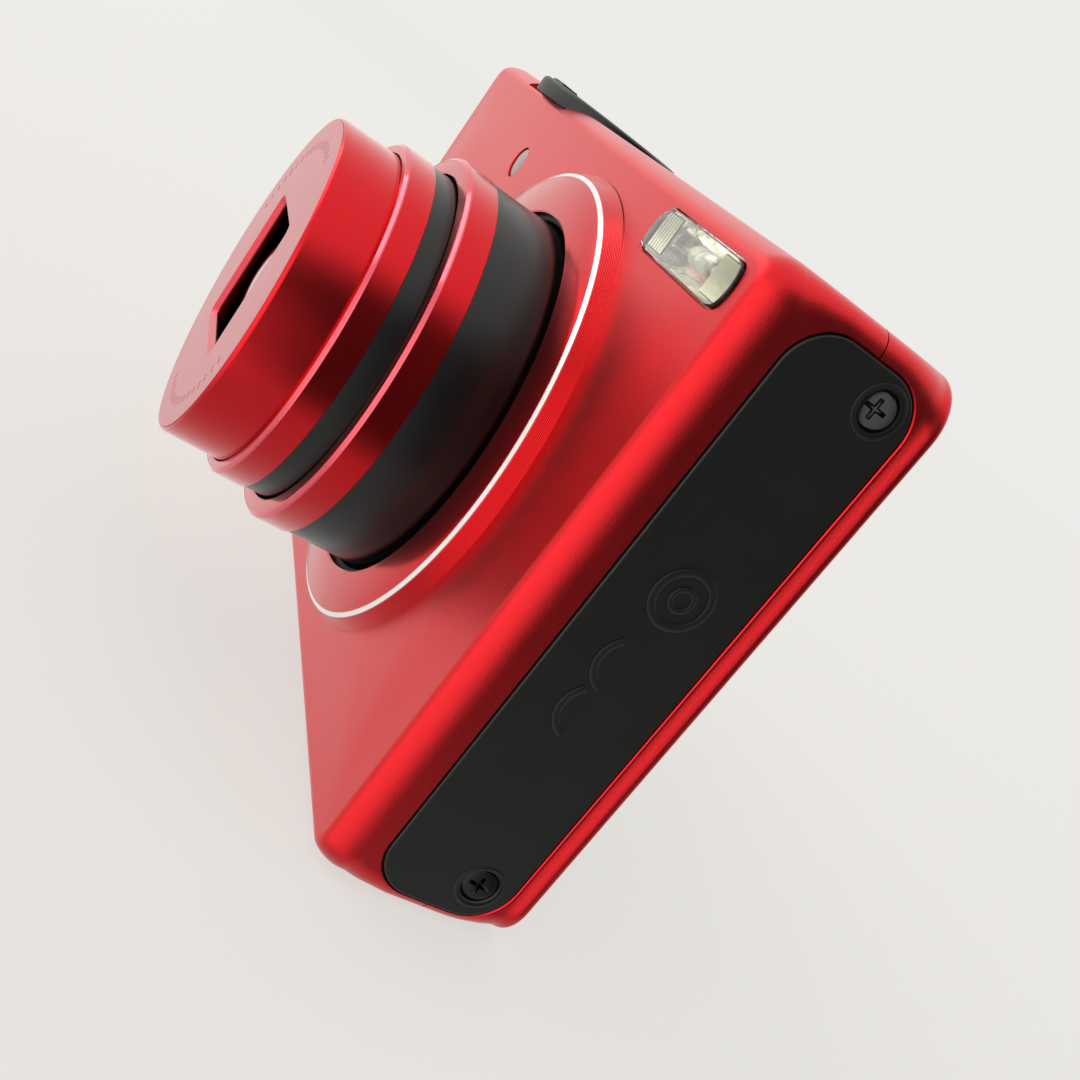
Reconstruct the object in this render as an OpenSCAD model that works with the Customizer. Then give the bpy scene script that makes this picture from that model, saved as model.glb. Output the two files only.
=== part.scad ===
// Pocket zoom camera, lens extended.  X is the width, -Y is the way the lens
// points, +Z is up.  The origin is the mouth of the tripod socket.

/* [Casing] */
// Width of the casing
body_w = 95.2; // [94.8:0.1:98]
// Height of the casing
body_h = 56; // [55.5:0.1:58]
// Depth behind the tripod axis, to the rear face
rear_y = 11; // [11:0.1:12]
// Depth in front of the tripod axis, to the middle of the front face
front_y = 7.2; // [7:0.1:7.5]
// Wall thickness of both shells
wall = 1.2; // [1:0.1:1.3]
// Corner radius of the casing at its front edge
corner_r = 3; // [3:0.1:3.6]
// Radius of the soft edge between the front and the sides
edge_r = 2.6; // [2.4:0.1:3]
// Where the front and the rear shell meet
seam_y = 3.3; // [3:0.1:4]

/* [Side cover] */
// Thickness of the side cover
cover_t = 1.1; // [0.9:0.1:1.3]
// Centre-to-centre distance of its two screws
cover_screw_span = 46.9; // [44:0.1:47.5]
// Depth position of the two screws
cover_screw_y = 6; // [5.8:0.1:6.4]

/* [Lens] */
// Lens axis, across
lens_x = 12.8; // [12:0.1:13.5]
// Lens axis, height
lens_z = 28.5; // [28:0.1:29]
// Radius of the trim ring at its base
ring_r = 23.7; // [23.4:0.1:24]
// Radius of the first (largest) stage
stage1_r = 18; // [17.9:0.05:18.1]
// Radius of the second stage
stage2_r = 16.2; // [16:0.05:16.3]
// Radius of the third (front) stage
stage3_r = 15.1; // [15:0.05:15.15]
// How far the front of the first stage stands in front of the axis
stage1_y = 18.4; // [17.5:0.1:18.6]
// How far the front of the second stage stands
stage2_y = 23.2; // [22.5:0.1:23.4]
// How far the front plate stands
stage3_y = 28.5; // [27.5:0.1:29]
// Width of the opening in the front plate
mouth_w = 11.4; // [10:0.1:12]
// Height of the opening in the front plate
mouth_h = 11.9; // [10:0.1:12]

/* [Controls] */
// Centre of the zoom lever, across
lever_x = -18.5; // [-22:0.5:-16]
// Radius of the zoom lever
lever_r = 9; // [8:0.1:9.5]
// Centre of the direction ring, across
pad_x = -33.5; // [-34:0.1:-33]
// Centre of the direction ring, height
pad_z = 25; // [22:0.5:28]
// Radius of the direction ring
pad_r = 8.7; // [8:0.1:8.8]

/* [Power] */
// Width of the battery pack
battery_w = 31; // [30:0.1:31]
// Height of the battery pack
battery_h = 40; // [36:0.5:40]
// Height of the memory card
card_h = 32; // [28:0.5:32]

/* [Hidden] */

$fn = 96;
fine = 0.01;          // a cutter runs this far past the face that it opens
slack = 0.1;          // running clearance between parts that slide
side_y = 6.9;           // depth of the front face at its sides
side_x = body_w / 2 - 0.6;   // half width between the soft side walls
rim_y = 9.3;          // where the square rear rim starts
rim_r = 4.2;          // corner radius of the rear rim
side_r = 1.8;         // corner radius of the casing along its sides
neck_y = 5.3;         // where the corners start to round off towards the rim
neck_r = 2.6;         // corner radius just in front of the rim
crown_x = 34;         // half width of the flat middle of the front face
crown_z = 6;          // how far the flat middle stays from the top and base

red = "#c0202e";
black = "#1c1c1c";
steel = "#b8bcc0";
glass = "#20242c";
board_green = "#1d6b3a";
brass = "#c8a24a";

// ---- shared forms -------------------------------------------------------

// A cylinder along +Y from y0 to y1
module rod_y(x, z, r, y0, y1) {
    translate([x, y0, z]) rotate([-90, 0, 0]) cylinder(r = r, h = y1 - y0);
}

// A tube along +Y from y0 to y1
module tube_y(x, z, r_out, r_in, y0, y1) {
    difference() {
        rod_y(x, z, r_out, y0, y1);
        rod_y(x, z, r_in, y0 - fine, y1 + fine);
    }
}

// A tube along +Z from z0 to z1
module tube_z(x, y, r_out, r_in, z0, z1) {
    translate([x, y, z0]) difference() {
        cylinder(r = r_out, h = z1 - z0);
        translate([0, 0, -fine]) cylinder(r = r_in, h = z1 - z0 + 2 * fine);
    }
}

// A box given by its low and high corners
module block(low, high) {
    translate(low) cube(high - low);
}

// A flat outline with round corners, from low to high
module round_rect(low, high, r) {
    x = [low[0] + r, high[0] - r];
    y = [low[1] + r, high[1] - r];
    for (i = x, j = y) translate([i, j]) circle(r = r);
    translate([low[0], y[0]]) square([high[0] - low[0], y[1] - y[0]]);
    translate([x[0], low[1]]) square([x[1] - x[0], high[1] - low[1]]);
}

// A plate with round corners in the XZ plane, from y0 to y1
module plate_y(low, high, r, y0, y1) {
    translate([0, y1, 0]) rotate([90, 0, 0]) linear_extrude(y1 - y0) round_rect(low, high, r);
}

// A plate with round corners in the YZ plane, from x0 to x1
module plate_x(low, high, r, x0, x1) {
    translate([x0, 0, 0]) rotate([90, 0, 90]) linear_extrude(x1 - x0) round_rect(low, high, r);
}

// A plate with round corners in the XY plane, from z0 to z1
module plate_z(low, high, r, z0, z1) {
    translate([0, 0, z0]) linear_extrude(z1 - z0) round_rect(low, high, r);
}

// A round lens: a disc whose front bulges towards -Y
module bulge_lens(x, z, r, y_apex, y_rim, y_back) {
    sag = y_rim - y_apex;
    ball = (r * r + sag * sag) / (2 * sag);
    edge_angle = asin(r / ball);
    translate([x, 0, z]) rotate([90, 0, 0]) rotate_extrude() polygon([
        [0, -y_back], [r, -y_back],
        for (step = [12:-1:0]) let (a = edge_angle * step / 12)
            [ball * sin(a), ball * cos(a) - ball - y_apex]]);
}

// A pan-head screw with a cross recess, its seat at z = 0
module pan_screw(head_r, head_t, shank_r, length, recess) {
    difference() {
        union() {
            cylinder(r = head_r, h = head_t);
            translate([0, 0, -length]) cylinder(r = shank_r, h = length + fine);
        }
        for (turn = [0, 90]) rotate(turn)
            translate([-head_r * 0.55, -head_r * 0.12, head_t - recess])
                cube([head_r * 1.1, head_r * 0.24, recess + fine]);
    }
}

// ---- casing -------------------------------------------------------------

// The solid outer form of both shells, drawn in by inset
module casing_form(inset) {
    r = edge_r - inset;
    hull() {
        for (x = [-1, 1], z = [0, 1])
            translate([x * (side_x - corner_r), -side_y + edge_r, z ? body_h - corner_r : corner_r])
                rotate([90, 0, 0]) rotate_extrude($fn = 32) intersection() {
                    translate([corner_r - edge_r, 0]) circle(r = r, $fn = 32);
                    translate([0, -edge_r]) square(corner_r + edge_r);
                }
        plate_y([-crown_x, crown_z], [crown_x, body_h - crown_z], 6, -front_y + inset, 0, $fn = 32);
        plate_y([-side_x + inset, inset], [side_x - inset, body_h - inset],
                side_r - inset, 0, neck_y, $fn = 32);
        plate_y([-side_x + inset, inset], [side_x - inset, body_h - inset],
                neck_r - inset, rim_y - 1, rim_y + inset, $fn = 32);
    }
    hull() {
        plate_y([-side_x + inset, inset], [side_x - inset, body_h - inset],
                neck_r - inset, rim_y - 1.4, rim_y, $fn = 32);
        plate_y([-body_w / 2 + inset, inset], [body_w / 2 - inset, body_h - inset],
                rim_r - inset, rim_y + 0.9 + inset, rear_y - inset, $fn = 32);
    }
}

casing_low = [-body_w / 2 - 1, -front_y - 1, -1];
casing_high = [body_w / 2 + 1, rear_y + 1, body_h + 1];

// Side cover pocket and screws
cover_low = [-2.6, 1.3];
cover_high = [9.1, body_h - 1.9];
cover_r = 3.8;
cover_x = side_x - cover_t + 0.05;
cover_screw_z = [body_h / 2 - cover_screw_span / 2, body_h / 2 + cover_screw_span / 2];

// Battery door outline, on the base
door_low = [-41.3, -4.35];
door_high = [-8.6, 6.3];
door_t = 1.4;
door_square_y = 4.4;   // the door's corners are square behind this, at its hinge
hinge_y = 5.7;
hinge_z = 0.75;
post_x = [-38, -18];
post_w = 2;
pin_r = 0.4;

// Rear display opening
lcd_low = [-20, 4];
lcd_high = [45, body_h - 4];

// Round buttons on the rear: x, z, radius
movie_at = [-40, 42, 2.6];
playback_at = [-27.5, 39.5, 2.2];
display_at = [-27.5, 10.5, 2.2];
menu_at = [-39.5, 10.5, 2.2];

// Flash window outline on the front
flash_low = [27, 50.1];
flash_high = [44.1, 53.9];
flash_y = -7.25;
flash_mid = (flash_low[1] + flash_high[1]) / 2;

// Focus lamp, on the front
lamp = [-14, 47.8];
lamp_r = 1.7;

power_x = -3;
power_r = 2.6;
lever_y = 0.5;
stem_r = 6.3;
nub_turn = 205;       // the nub points forward and towards the grip
well_z = body_h - 1.15;  // floor of the round well that the lever turns in
shutter_r = 5.4;
switch_at = [-34.5, 51.2];
board_top = body_h - 6.5;
tripod_r = 3.175;
tripod_depth = 5.5;
base_screw_x = [-2.6, 12, 40];

// Everything that is cut through the two shells
module casing_cuts() {
    rod_y(lens_x, lens_z, spigot_r + slack, -front_y - 2, -side_y + 3);
    plate_y(flash_low - [slack, slack], flash_high + [slack, slack], 1, -front_y - 2, 0);
    rod_y(lamp[0], lamp[1], lamp_r + slack, -front_y - 2, 0);
    plate_x(cover_low - [slack, slack], cover_high + [slack, slack], cover_r,
            cover_x - slack, body_w);
    for (z = cover_screw_z) translate([40, cover_screw_y, z]) rotate([0, 90, 0])
        cylinder(r = 0.9, h = 10);
    translate([lever_x, lever_y, 50]) cylinder(r = stem_r + 0.2, h = 10);
    translate([lever_x, lever_y, well_z]) {
        cylinder(r = lever_r + 0.3, h = 10);
        linear_extrude(10) nub_sweep(lever_r + 2.5);
    }
    translate([power_x, lever_y, 50]) cylinder(r = power_r + 0.2, h = 10);
    plate_z(door_low - [0.2, 0.15], door_high + [0.2, 0.4], 1.5, -1, wall + 0.4);
    block([door_low[0] - 0.2, door_square_y, -1], [door_high[0] + 0.2, door_high[1] + 0.4, wall + 0.4]);
    translate([0, 0, -1]) cylinder(r = 5, h = 3);
    for (x = base_screw_x) translate([x, 6.3, -1]) {
        cylinder(r = 1, h = 4);
        cylinder(r = 1.8, h = 1.7);
    }
    for (at = [movie_at, playback_at, display_at, menu_at])
        rod_y(at[0], at[1], at[2] + 0.15, 8, 12);
    rod_y(pad_x, pad_z, pad_r + 0.3, 8, 12);
    plate_y([switch_at[0] - 4.2, switch_at[1] - 1.3], [switch_at[0] + 4.2, switch_at[1] + 1.3], 1.2, 8, 12);
    plate_y(lcd_low - [slack, slack], lcd_high + [slack, slack], 1.5, 8, 12);
    for (i = [0:4]) translate([25.4 + i * 1.6, 2.3, 50]) cylinder(r = 0.4, h = 10, $fn = 24);
    for (i = [0, 1]) translate([10 + i * 1.4, 2, 50]) cylinder(r = 0.35, h = 10, $fn = 24);
    plate_x([-1.2, 8], [7.2, 24], 1.2, -body_w, -side_x + wall + 0.6);
    plate_x([0.2, 44], [4.4, 51], 1, -body_w, -side_x + wall + 0.6);
}

// The flat area that the lever's nub passes over
module nub_sweep(r) {
    polygon([[0, 0], for (a = [nub_turn - 33:11:nub_turn + 33]) [r * cos(a), r * sin(a)]]);
}

// The floor of the lever well and the wall behind the side cover
module shell_backing() {
    intersection() {
        casing_form(0);
        union() {
            translate([lever_x, lever_y, well_z - 1.1]) {
                cylinder(r = lever_r + 1.3, h = 1.2);
                linear_extrude(1.2) nub_sweep(lever_r + 3.5);
            }
            plate_x(cover_low - [0.5, 0.3], cover_high + [0.5, 0.3], cover_r, cover_x - 1.2, cover_x + 0.2);
        }
    }
}

module shell_walls() {
    difference() {
        union() {
            difference() {
                casing_form(0);
                casing_form(wall);
            }
            shell_backing();
        }
        casing_cuts();
    }
}

module front_shell() {
    color(red) intersection() {
        shell_walls();
        block(casing_low, [casing_high[0], seam_y - 0.04, casing_high[2]]);
    }
}

module rear_shell() {
    color(red) {
        intersection() {
            shell_walls();
            block([casing_low[0], seam_y + 0.04, casing_low[2]], casing_high);
        }
        for (x = post_x) difference() {
            block([x, 4.9, 0.1], [x + post_w, 7.4, door_t]);
            translate([x - 1, hinge_y, hinge_z]) rotate([0, 90, 0]) cylinder(r = pin_r, h = post_w + 2);
        }
    }
}

// A raised bar on the side cover, bent round as part of a ring
module cover_arc(z, r, from, sweep) {
    translate([cover_x + cover_t - 0.02, 3.7, z]) rotate([90, 0, 90])
        rotate(from) rotate_extrude(angle = sweep) translate([r - 0.35, 0]) square([0.7, 0.14]);
}

module side_cover() {
    color(black) {
        difference() {
            plate_x(cover_low, cover_high, cover_r, cover_x, cover_x + cover_t);
            for (z = cover_screw_z) translate([cover_x - 1, cover_screw_y, z]) rotate([0, 90, 0]) {
                cylinder(r = 0.9, h = 4);
                translate([0, 0, 1.35]) cylinder(r = 1.6, h = 3);
            }
        }
        cover_arc(33.0, 2.3, 0, 360);
        cover_arc(26.4, 2.4, 140, 100);
        cover_arc(21.8, 2.4, 140, 100);
    }
}

module cover_screws() {
    color(black) for (z = cover_screw_z)
        translate([cover_x + 0.36, cover_screw_y, z]) rotate([0, 90, 0])
            pan_screw(1.4, 0.55, 0.8, 4.2, 0.35);
}

module base_screws() {
    color(steel) for (x = base_screw_x)
        translate([x, 6.3, 0.9]) rotate([180, 0, 0]) translate([0, 0, 0.2])
            pan_screw(1.6, 0.55, 0.85, 5, 0.3);
}

module chassis() {
    color(steel) difference() {
        union() {
            plate_y([-44.4, 9], [-9.4, board_top], 1, 4.9, 5.4);
            block([-9.6, 4.9, 18], [-7.8, 5.4, 38]);
            block([-8.6, -4.6, 1.4], [6.6, 5.4, 2]);
            block([-8.6, 4.9, 1.4], [6.6, 5.4, 6.8]);
            block([-12, 4.9, 9], [-8.6, 5.4, 12]);
            block([-8.61, 4.9, 6], [-8, 5.4, 12]);
        }
        translate([0, 0, -1]) cylinder(r = 5.2, h = 8);
        for (x = base_screw_x) translate([x, 6.3, -1]) cylinder(r = 2, h = 9);
    }
}

module tripod_nut() {
    color(brass) difference() {
        union() {
            cylinder(r = 4.9, h = 1.4);
            translate([0, 0, 1.4]) cylinder(r = 4.6, h = tripod_depth + 1 - 1.4);
        }
        translate([0, 0, -fine]) cylinder(r = tripod_r, h = tripod_depth + fine);
    }
}

module strap_lug() {
    color(steel) difference() {
        union() {
            plate_x([0.4, 44.2], [4.2, 50.8], 0.8, -side_x - 0.1, -side_x + 2.4);
            plate_x([1.4, 44.2], [3.2, 50.8], 0.8, -side_x - 0.4, -side_x);
        }
        block([-side_x - 1, 0, 45.6], [-side_x + 1.6, 5, 49.4]);
    }
    color(steel) translate([-side_x + 0.75, 2.3, 45]) cylinder(r = 0.6, h = 5);
}

// ---- lens ---------------------------------------------------------------

ring_face_y = 9.1;
ring_hole_r = 18.5;
spigot_r = 20.3;
spigot_y = 5.8;
retracted_y = 9.25;

module lens_ring() {
    color(red) translate([lens_x, 0, lens_z]) rotate([90, 0, 0]) rotate_extrude() polygon([
        [ring_hole_r, spigot_y], [spigot_r, spigot_y], [spigot_r, front_y], [ring_r, front_y],
        [ring_r - 0.7, ring_face_y - 0.45], [ring_r - 1.25, ring_face_y - 0.05], [ring_r - 1.4, ring_face_y],
        [ring_hole_r + 0.2, ring_face_y], [ring_hole_r, ring_face_y - 0.2]]);
}

module light_seal() {
    color(black) tube_y(lens_x, lens_z, ring_hole_r, stage1_r + 0.12, -8.5, -7.7);
}

barrel_y = [-spigot_y, 4.6];
barrel_r = 19.8;
barrel_bore_r = 18.7;

module fixed_barrel() {
    color(black) {
        tube_y(lens_x, lens_z, barrel_r, barrel_bore_r, barrel_y[0], barrel_y[1]);
        for (turn = [100, 220, 340]) translate([lens_x, 0, lens_z]) rotate([0, turn, 0])
            block([stage1_r + 0.3, barrel_y[0], -0.5], [barrel_bore_r + 0.1, barrel_y[1], 0.5]);
    }
}

// Spur teeth as one closed outline
function tooth_angle(i, teeth, share) = 360 / teeth * (i + share);
module spur(teeth, root_r, tip_r) {
    polygon([for (i = [0:teeth - 1], k = [[-0.27, root_r], [-0.1, tip_r], [0.1, tip_r], [0.27, root_r]])
        let (a = tooth_angle(i, teeth, k[0])) [k[1] * cos(a), k[1] * sin(a)]]);
}

gear_y = [-1, 0.8];
gear_module = 0.8;
cam_teeth = 54;
pinion_teeth = 8;
cam_pitch_r = gear_module * cam_teeth / 2;
pinion_pitch_r = gear_module * pinion_teeth / 2;
pinion_bearing = 135;
gear_distance = cam_pitch_r + pinion_pitch_r + 0.06;
pinion_x = lens_x + gear_distance * cos(pinion_bearing);
pinion_z = lens_z + gear_distance * sin(pinion_bearing);

module cam_ring() {
    color(steel) difference() {
        union() {
            rod_y(lens_x, lens_z, barrel_r + 0.6, gear_y[1] - 0.3, 3.8);
            translate([lens_x, gear_y[1], lens_z]) rotate([90, 0, 0]) rotate([0, 0, pinion_bearing])
                linear_extrude(gear_y[1] - gear_y[0]) spur(cam_teeth, cam_pitch_r - 0.7, cam_pitch_r + 0.6);
        }
        rod_y(lens_x, lens_z, barrel_r + 0.08, gear_y[0] - 1, 5);
    }
}

module drive_gear() {
    color(brass) {
        translate([pinion_x, gear_y[1], pinion_z]) rotate([90, 0, 0])
            rotate([0, 0, pinion_bearing + 180 + 180 / pinion_teeth])
                linear_extrude(gear_y[1] - gear_y[0]) difference() {
                    spur(pinion_teeth, pinion_pitch_r - 0.75, pinion_pitch_r + 0.6);
                    circle(r = 0.8);
                }
    }
}

module zoom_motor() {
    color(steel) {
        rod_y(pinion_x, pinion_z, 4.2, -5.6, -1.4);
        rod_y(pinion_x, pinion_z, 0.75, -1.4, 1.6);
    }
}

module lens_base() {
    color(black) difference() {
        rod_y(lens_x, lens_z, 20.4, barrel_y[1], 6.2);
        plate_y([lens_x - 5.2, lens_z - 4.7], [lens_x + 5.2, lens_z + 4.7], 0.5, 4, 7);
    }
}

module sensor_board() {
    color(board_green) plate_y([lens_x - 13, lens_z - 12], [lens_x + 13, lens_z + 12], 1.5, 6.2, 6.8);
}

module image_sensor() {
    color(glass) plate_y([lens_x - 5, lens_z - 4.5], [lens_x + 5, lens_z + 4.5], 0.4, 5, 6.2);
}

module focus_group() {
    color(black) tube_y(lens_x, lens_z, 11.5, 5.5, 2.6, 3.8);
    color(glass) bulge_lens(lens_x, lens_z, 5.5, 2.2, 2.8, 3.6);
}

// A black sliding tube from its ring back to back_y
module stage_1_tube() {
    color(black) tube_y(lens_x, lens_z, stage1_r - 0.2, stage1_r - 0.9, -stage1_y + 2.9, -4.8);
}

// A red ring with a bevelled front lip that closes on the next stage
module stage_ring(r, front, length, lip_r) {
    translate([lens_x, 0, lens_z]) rotate([90, 0, 0]) rotate_extrude() polygon([
        [r - 0.9, front - length], [r, front - length], [r, front - 0.35], [r - 0.35, front],
        [lip_r, front], [lip_r, front - 0.8], [r - 0.9, front - 0.8]]);
}

module stage_1_ring() {
    color(red) stage_ring(stage1_r, stage1_y, 2.9, stage2_r + slack);
}

module stage_2_tube() {
    color(black) tube_y(lens_x, lens_z, stage2_r - 0.15, stage2_r - 0.8, -stage2_y + 2.75, -10.2);
}

module stage_2_ring() {
    color(red) stage_ring(stage2_r, stage2_y, 2.75, stage3_r + slack);
}

module stage_3_sleeve() {
    color(red) tube_y(lens_x, lens_z, stage3_r, stage3_r - 0.7, -stage3_y + 0.6, -15.2);
}

module front_plate() {
    color(red) difference() {
        rod_y(lens_x, lens_z, stage3_r, -stage3_y, -stage3_y + 0.6);
        plate_y([lens_x - mouth_w / 2, lens_z - mouth_h / 2], [lens_x + mouth_w / 2, lens_z + mouth_h / 2],
                0.6, -stage3_y - 1, -stage3_y + 2);
    }
}

module lens_frame() {
    color(black) {
        tube_y(lens_x, lens_z, stage3_r - 0.7, 9, -stage3_y + 1.7, -24);
        tube_y(lens_x, lens_z, stage3_r - 0.7, stage3_r - 1.7, -24, -20);
    }
}

module front_glass() {
    color(glass) bulge_lens(lens_x, lens_z, 9, -stage3_y + 1.6, -stage3_y + 3, -24.2);
}

blade_y = -stage3_y + 0.85;
blade_h = mouth_h / 2 + 0.1;

// One leaf of the lens cover, parked beside the opening; side is 1 or -1
module blade(side) {
    z0 = lens_z + side * (mouth_h / 2 + 0.2);
    z1 = z0 + side * blade_h;
    color(black) plate_y([lens_x - 6.2, min(z0, z1)], [lens_x + 6.2, max(z0, z1)], 0.5, blade_y, blade_y + 0.4);
}

module blade_upper() {
    blade(1);
}

module blade_lower() {
    blade(-1);
}

// ---- flash and lamp -----------------------------------------------------

module flash_window() {
    color("white") plate_y(flash_low, flash_high, 0.9, flash_y, -4.8);
}

module flash_reflector() {
    color(steel) difference() {
        block([flash_low[0] + 0.2, -4.8, flash_low[1] - 0.4], [flash_high[0] - 0.2, -1, flash_high[1] - 0.2]);
        translate([flash_low[0] - 1, -4.8, flash_mid]) rotate([0, 90, 0])
            cylinder(r = 1.6, h = 20);
    }
}

module flash_tube() {
    color("white") translate([flash_low[0] + 0.5, -4, flash_mid])
        rotate([0, 90, 0]) cylinder(r = 0.75, h = flash_high[0] - flash_low[0] - 1);
}

module flash_capacitor() {
    color(black) translate([40, -1.2, 9]) cylinder(r = 3.7, h = 28);
}

module focus_lamp() {
    color("white") bulge_lens(lamp[0], lamp[1], lamp_r, -7.15, -6.9, -4.6);
}

// ---- top controls -------------------------------------------------------

module zoom_lever() {
    color(black) difference() {
        union() {
            translate([lever_x, lever_y, well_z + 0.15]) cylinder(r = lever_r, h = 1.8);
            translate([lever_x, lever_y, well_z - 1.9]) cylinder(r = stem_r, h = 2.5);
            translate([lever_x, lever_y, well_z + 0.15]) rotate(nub_turn)
                block([lever_r - 1, -1.9, 0], [lever_r + 2.1, 1.9, 2.3]);
        }
        translate([lever_x, lever_y, 40]) cylinder(r = shutter_r + 0.15, h = 30);
    }
}

// A round button along +Z with a flange that holds it under the wall
module top_button(x, r, top, flange_r, flange_z) {
    translate([x, lever_y, flange_z]) cylinder(r = flange_r, h = 0.8);
    translate([x, lever_y, flange_z]) cylinder(r = r, h = top - flange_z);
}

module shutter_button() {
    color(steel) top_button(lever_x, shutter_r, well_z + 2.05, stem_r, well_z - 3.2);
}

module power_button() {
    color(steel) top_button(power_x, power_r, body_h + 0.1, power_r + 0.8, body_h - wall - 1);
}

// ---- rear controls ------------------------------------------------------

// A round button along +Y with a flange behind the wall
module rear_button(at, flange = 0.7) {
    rod_y(at[0], at[1], at[2] + flange, rear_y - 2.1, rear_y - 1.4);
    rod_y(at[0], at[1], at[2], rear_y - 2.1, rear_y + 0.35);
}

module movie_button() {
    color("firebrick") rear_button(movie_at);
}

module playback_button() {
    color(steel) rear_button(playback_at);
}

module display_button() {
    color(steel) rear_button(display_at);
}

module menu_button() {
    color(steel) rear_button(menu_at);
}

module mode_switch() {
    color(black) {
        plate_y([switch_at[0] - 5.6, switch_at[1] - 1.7], [switch_at[0] + 2, switch_at[1] + 1.7], 0.5, 9, 9.6);
        plate_y([switch_at[0] - 3.9, switch_at[1] - 1.1], [switch_at[0] + 0.3, switch_at[1] + 1.1], 0.8, 9.3, 11.5);
    }
}

module pad_mat() {
    color(black) tube_y(pad_x, pad_z, 9, 4.8, 7.2, 7.9);
}

module direction_ring() {
    color(steel) {
        tube_y(pad_x, pad_z, pad_r, 4.3, 9, 11.4);
        tube_y(pad_x, pad_z, pad_r + 0.6, 5.3, 8.4, 9);
    }
}

module set_button() {
    color(steel) {
        rod_y(pad_x, pad_z, 3.9, 7.4, 11.5);
        rod_y(pad_x, pad_z, 4.6, 7.4, 8);
    }
}

// ---- boards, display and sound ------------------------------------------

module key_board() {
    color(board_green) plate_y([-44.4, 8], [-22.6, board_top], 1, 5.9, 6.5);
}

module main_board() {
    color(board_green) {
        plate_y([-44.4, 9], [-10, board_top], 1, 4, 4.7);
        block([-32, 3, 38], [-22, 4, 48]);
        block([-42, 3.2, 39], [-36, 4, 45]);
    }
}

module lcd_panel() {
    color(glass) block([lcd_low[0] + 1, 7.4, lcd_low[1] + 1], [lcd_high[0] - 1, 9.7, lcd_high[1] - 1]);
}

module lcd_window() {
    color(black) plate_y(lcd_low, lcd_high, 1.4, 9.8, rear_y);
}

module speaker() {
    color(black) block([24, 0, body_h - 5], [33, 4.6, body_h - wall - 0.1]);
}

module microphone() {
    color(steel) translate([10.7, 2, body_h - wall - 1.5]) cylinder(r = 1.9, h = 1.4);
}

// ---- battery and card ---------------------------------------------------

battery_low = [-41, -4.1, 3.4];
battery = [battery_w, 5.2, battery_h];
card = [24, 2.1, card_h];
card_low = [-38, 1.45, 3.4];

module battery_pack() {
    color("dimgray") translate(battery_low) cube(battery);
}

module battery_frame() {
    b0 = battery_low;
    b1 = battery_low + battery;
    color(black) {
        block([b0[0] - 0.8, b1[1] + 0.06, b0[2]], [b1[0] + 0.6, b1[1] + 0.26, b1[2] + 0.9]);
        block([b0[0] - 0.8, b0[1] + 0.6, b0[2] + 4], [b0[0] - 0.15, b1[1] + 0.26, b1[2] + 0.9]);
        block([b1[0] + 0.1, b0[1], b0[2]], [b1[0] + 0.6, b1[1] + 0.26, b1[2] + 0.9]);
        block([b0[0] - 0.8, b0[1] + 0.6, b1[2] + 0.2], [b1[0] + 0.6, b1[1] + 0.26, b1[2] + 0.9]);
    }
}

module memory_card() {
    color("royalblue") translate(card_low) cube(card);
}

module card_holder() {
    c0 = card_low;
    c1 = card_low + card;
    color(steel) {
        block([c0[0] - 0.5, c1[1] + 0.1, c0[2]], [c1[0] + 0.5, c1[1] + 0.3, c1[2] + 0.5]);
        block([c0[0] - 0.5, c0[1], c0[2]], [c0[0] - 0.15, c1[1] + 0.2, c1[2] + 0.5]);
        block([c1[0] + 0.15, c0[1], c0[2]], [c1[0] + 0.5, c1[1] + 0.2, c1[2] + 0.5]);
    }
}

module battery_door() {
    color(red) difference() {
        union() {
            plate_z(door_low, door_high, 1.4, 0, door_t);
            block([door_low[0], door_square_y, 0], [door_high[0], door_high[1], door_t]);
        }
        translate([-50, hinge_y, hinge_z]) rotate([0, 90, 0]) cylinder(r = pin_r + 0.05, h = 50);
        for (x = post_x) block([x - 0.2, 4.6, -1], [x + post_w + 0.2, 8, 3]);
        plate_z([-29.8, -3.9], [-23.4, -1.3], 0.8, -1, 3);
    }
}

module door_pin() {
    color(steel) translate([-40.8, hinge_y, hinge_z]) rotate([0, 90, 0]) cylinder(r = pin_r, h = 31.6);
}

module door_catch() {
    color(black) {
        plate_z([-28.6, -3.75], [-24.6, -1.45], 0.7, 0.15, 1.45);
        plate_z([-29.6, -4.1], [-23.9, -1.1], 0.5, 1.45, 1.95);
    }
}

module terminal_door() {
    color(black) {
        plate_x([-1, 8.2], [7, 23.8], 1.1, -side_x + 0.05, -side_x + 1.2);
        block([-side_x + 1.2, 0.4, 10.4], [-side_x + 1.75, 5, 21]);
    }
}

front_shell();
rear_shell();
side_cover();
cover_screws();
base_screws();
chassis();
tripod_nut();
strap_lug();
lens_ring();
light_seal();
fixed_barrel();
cam_ring();
drive_gear();
zoom_motor();
lens_base();
sensor_board();
image_sensor();
focus_group();
stage_1_tube();
stage_1_ring();
stage_2_tube();
stage_2_ring();
stage_3_sleeve();
front_plate();
lens_frame();
front_glass();
blade_upper();
blade_lower();
flash_window();
flash_reflector();
flash_tube();
flash_capacitor();
focus_lamp();
zoom_lever();
shutter_button();
power_button();
mode_switch();
movie_button();
playback_button();
display_button();
menu_button();
pad_mat();
direction_ring();
set_button();
key_board();
main_board();
lcd_panel();
lcd_window();
speaker();
microphone();
battery_frame();
battery_pack();
memory_card();
card_holder();
battery_door();
door_pin();
door_catch();
terminal_door();
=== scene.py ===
"""Pocket zoom camera with its lens out: the visual model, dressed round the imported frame.

Sizes in the classes are millimetres.  Places come from the frame's own boxes.
"""

import logging
import math
from dataclasses import dataclass
from enum import Enum
from typing import Callable, Sequence

import bmesh
import bpy
from mathutils import Matrix, Vector


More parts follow.
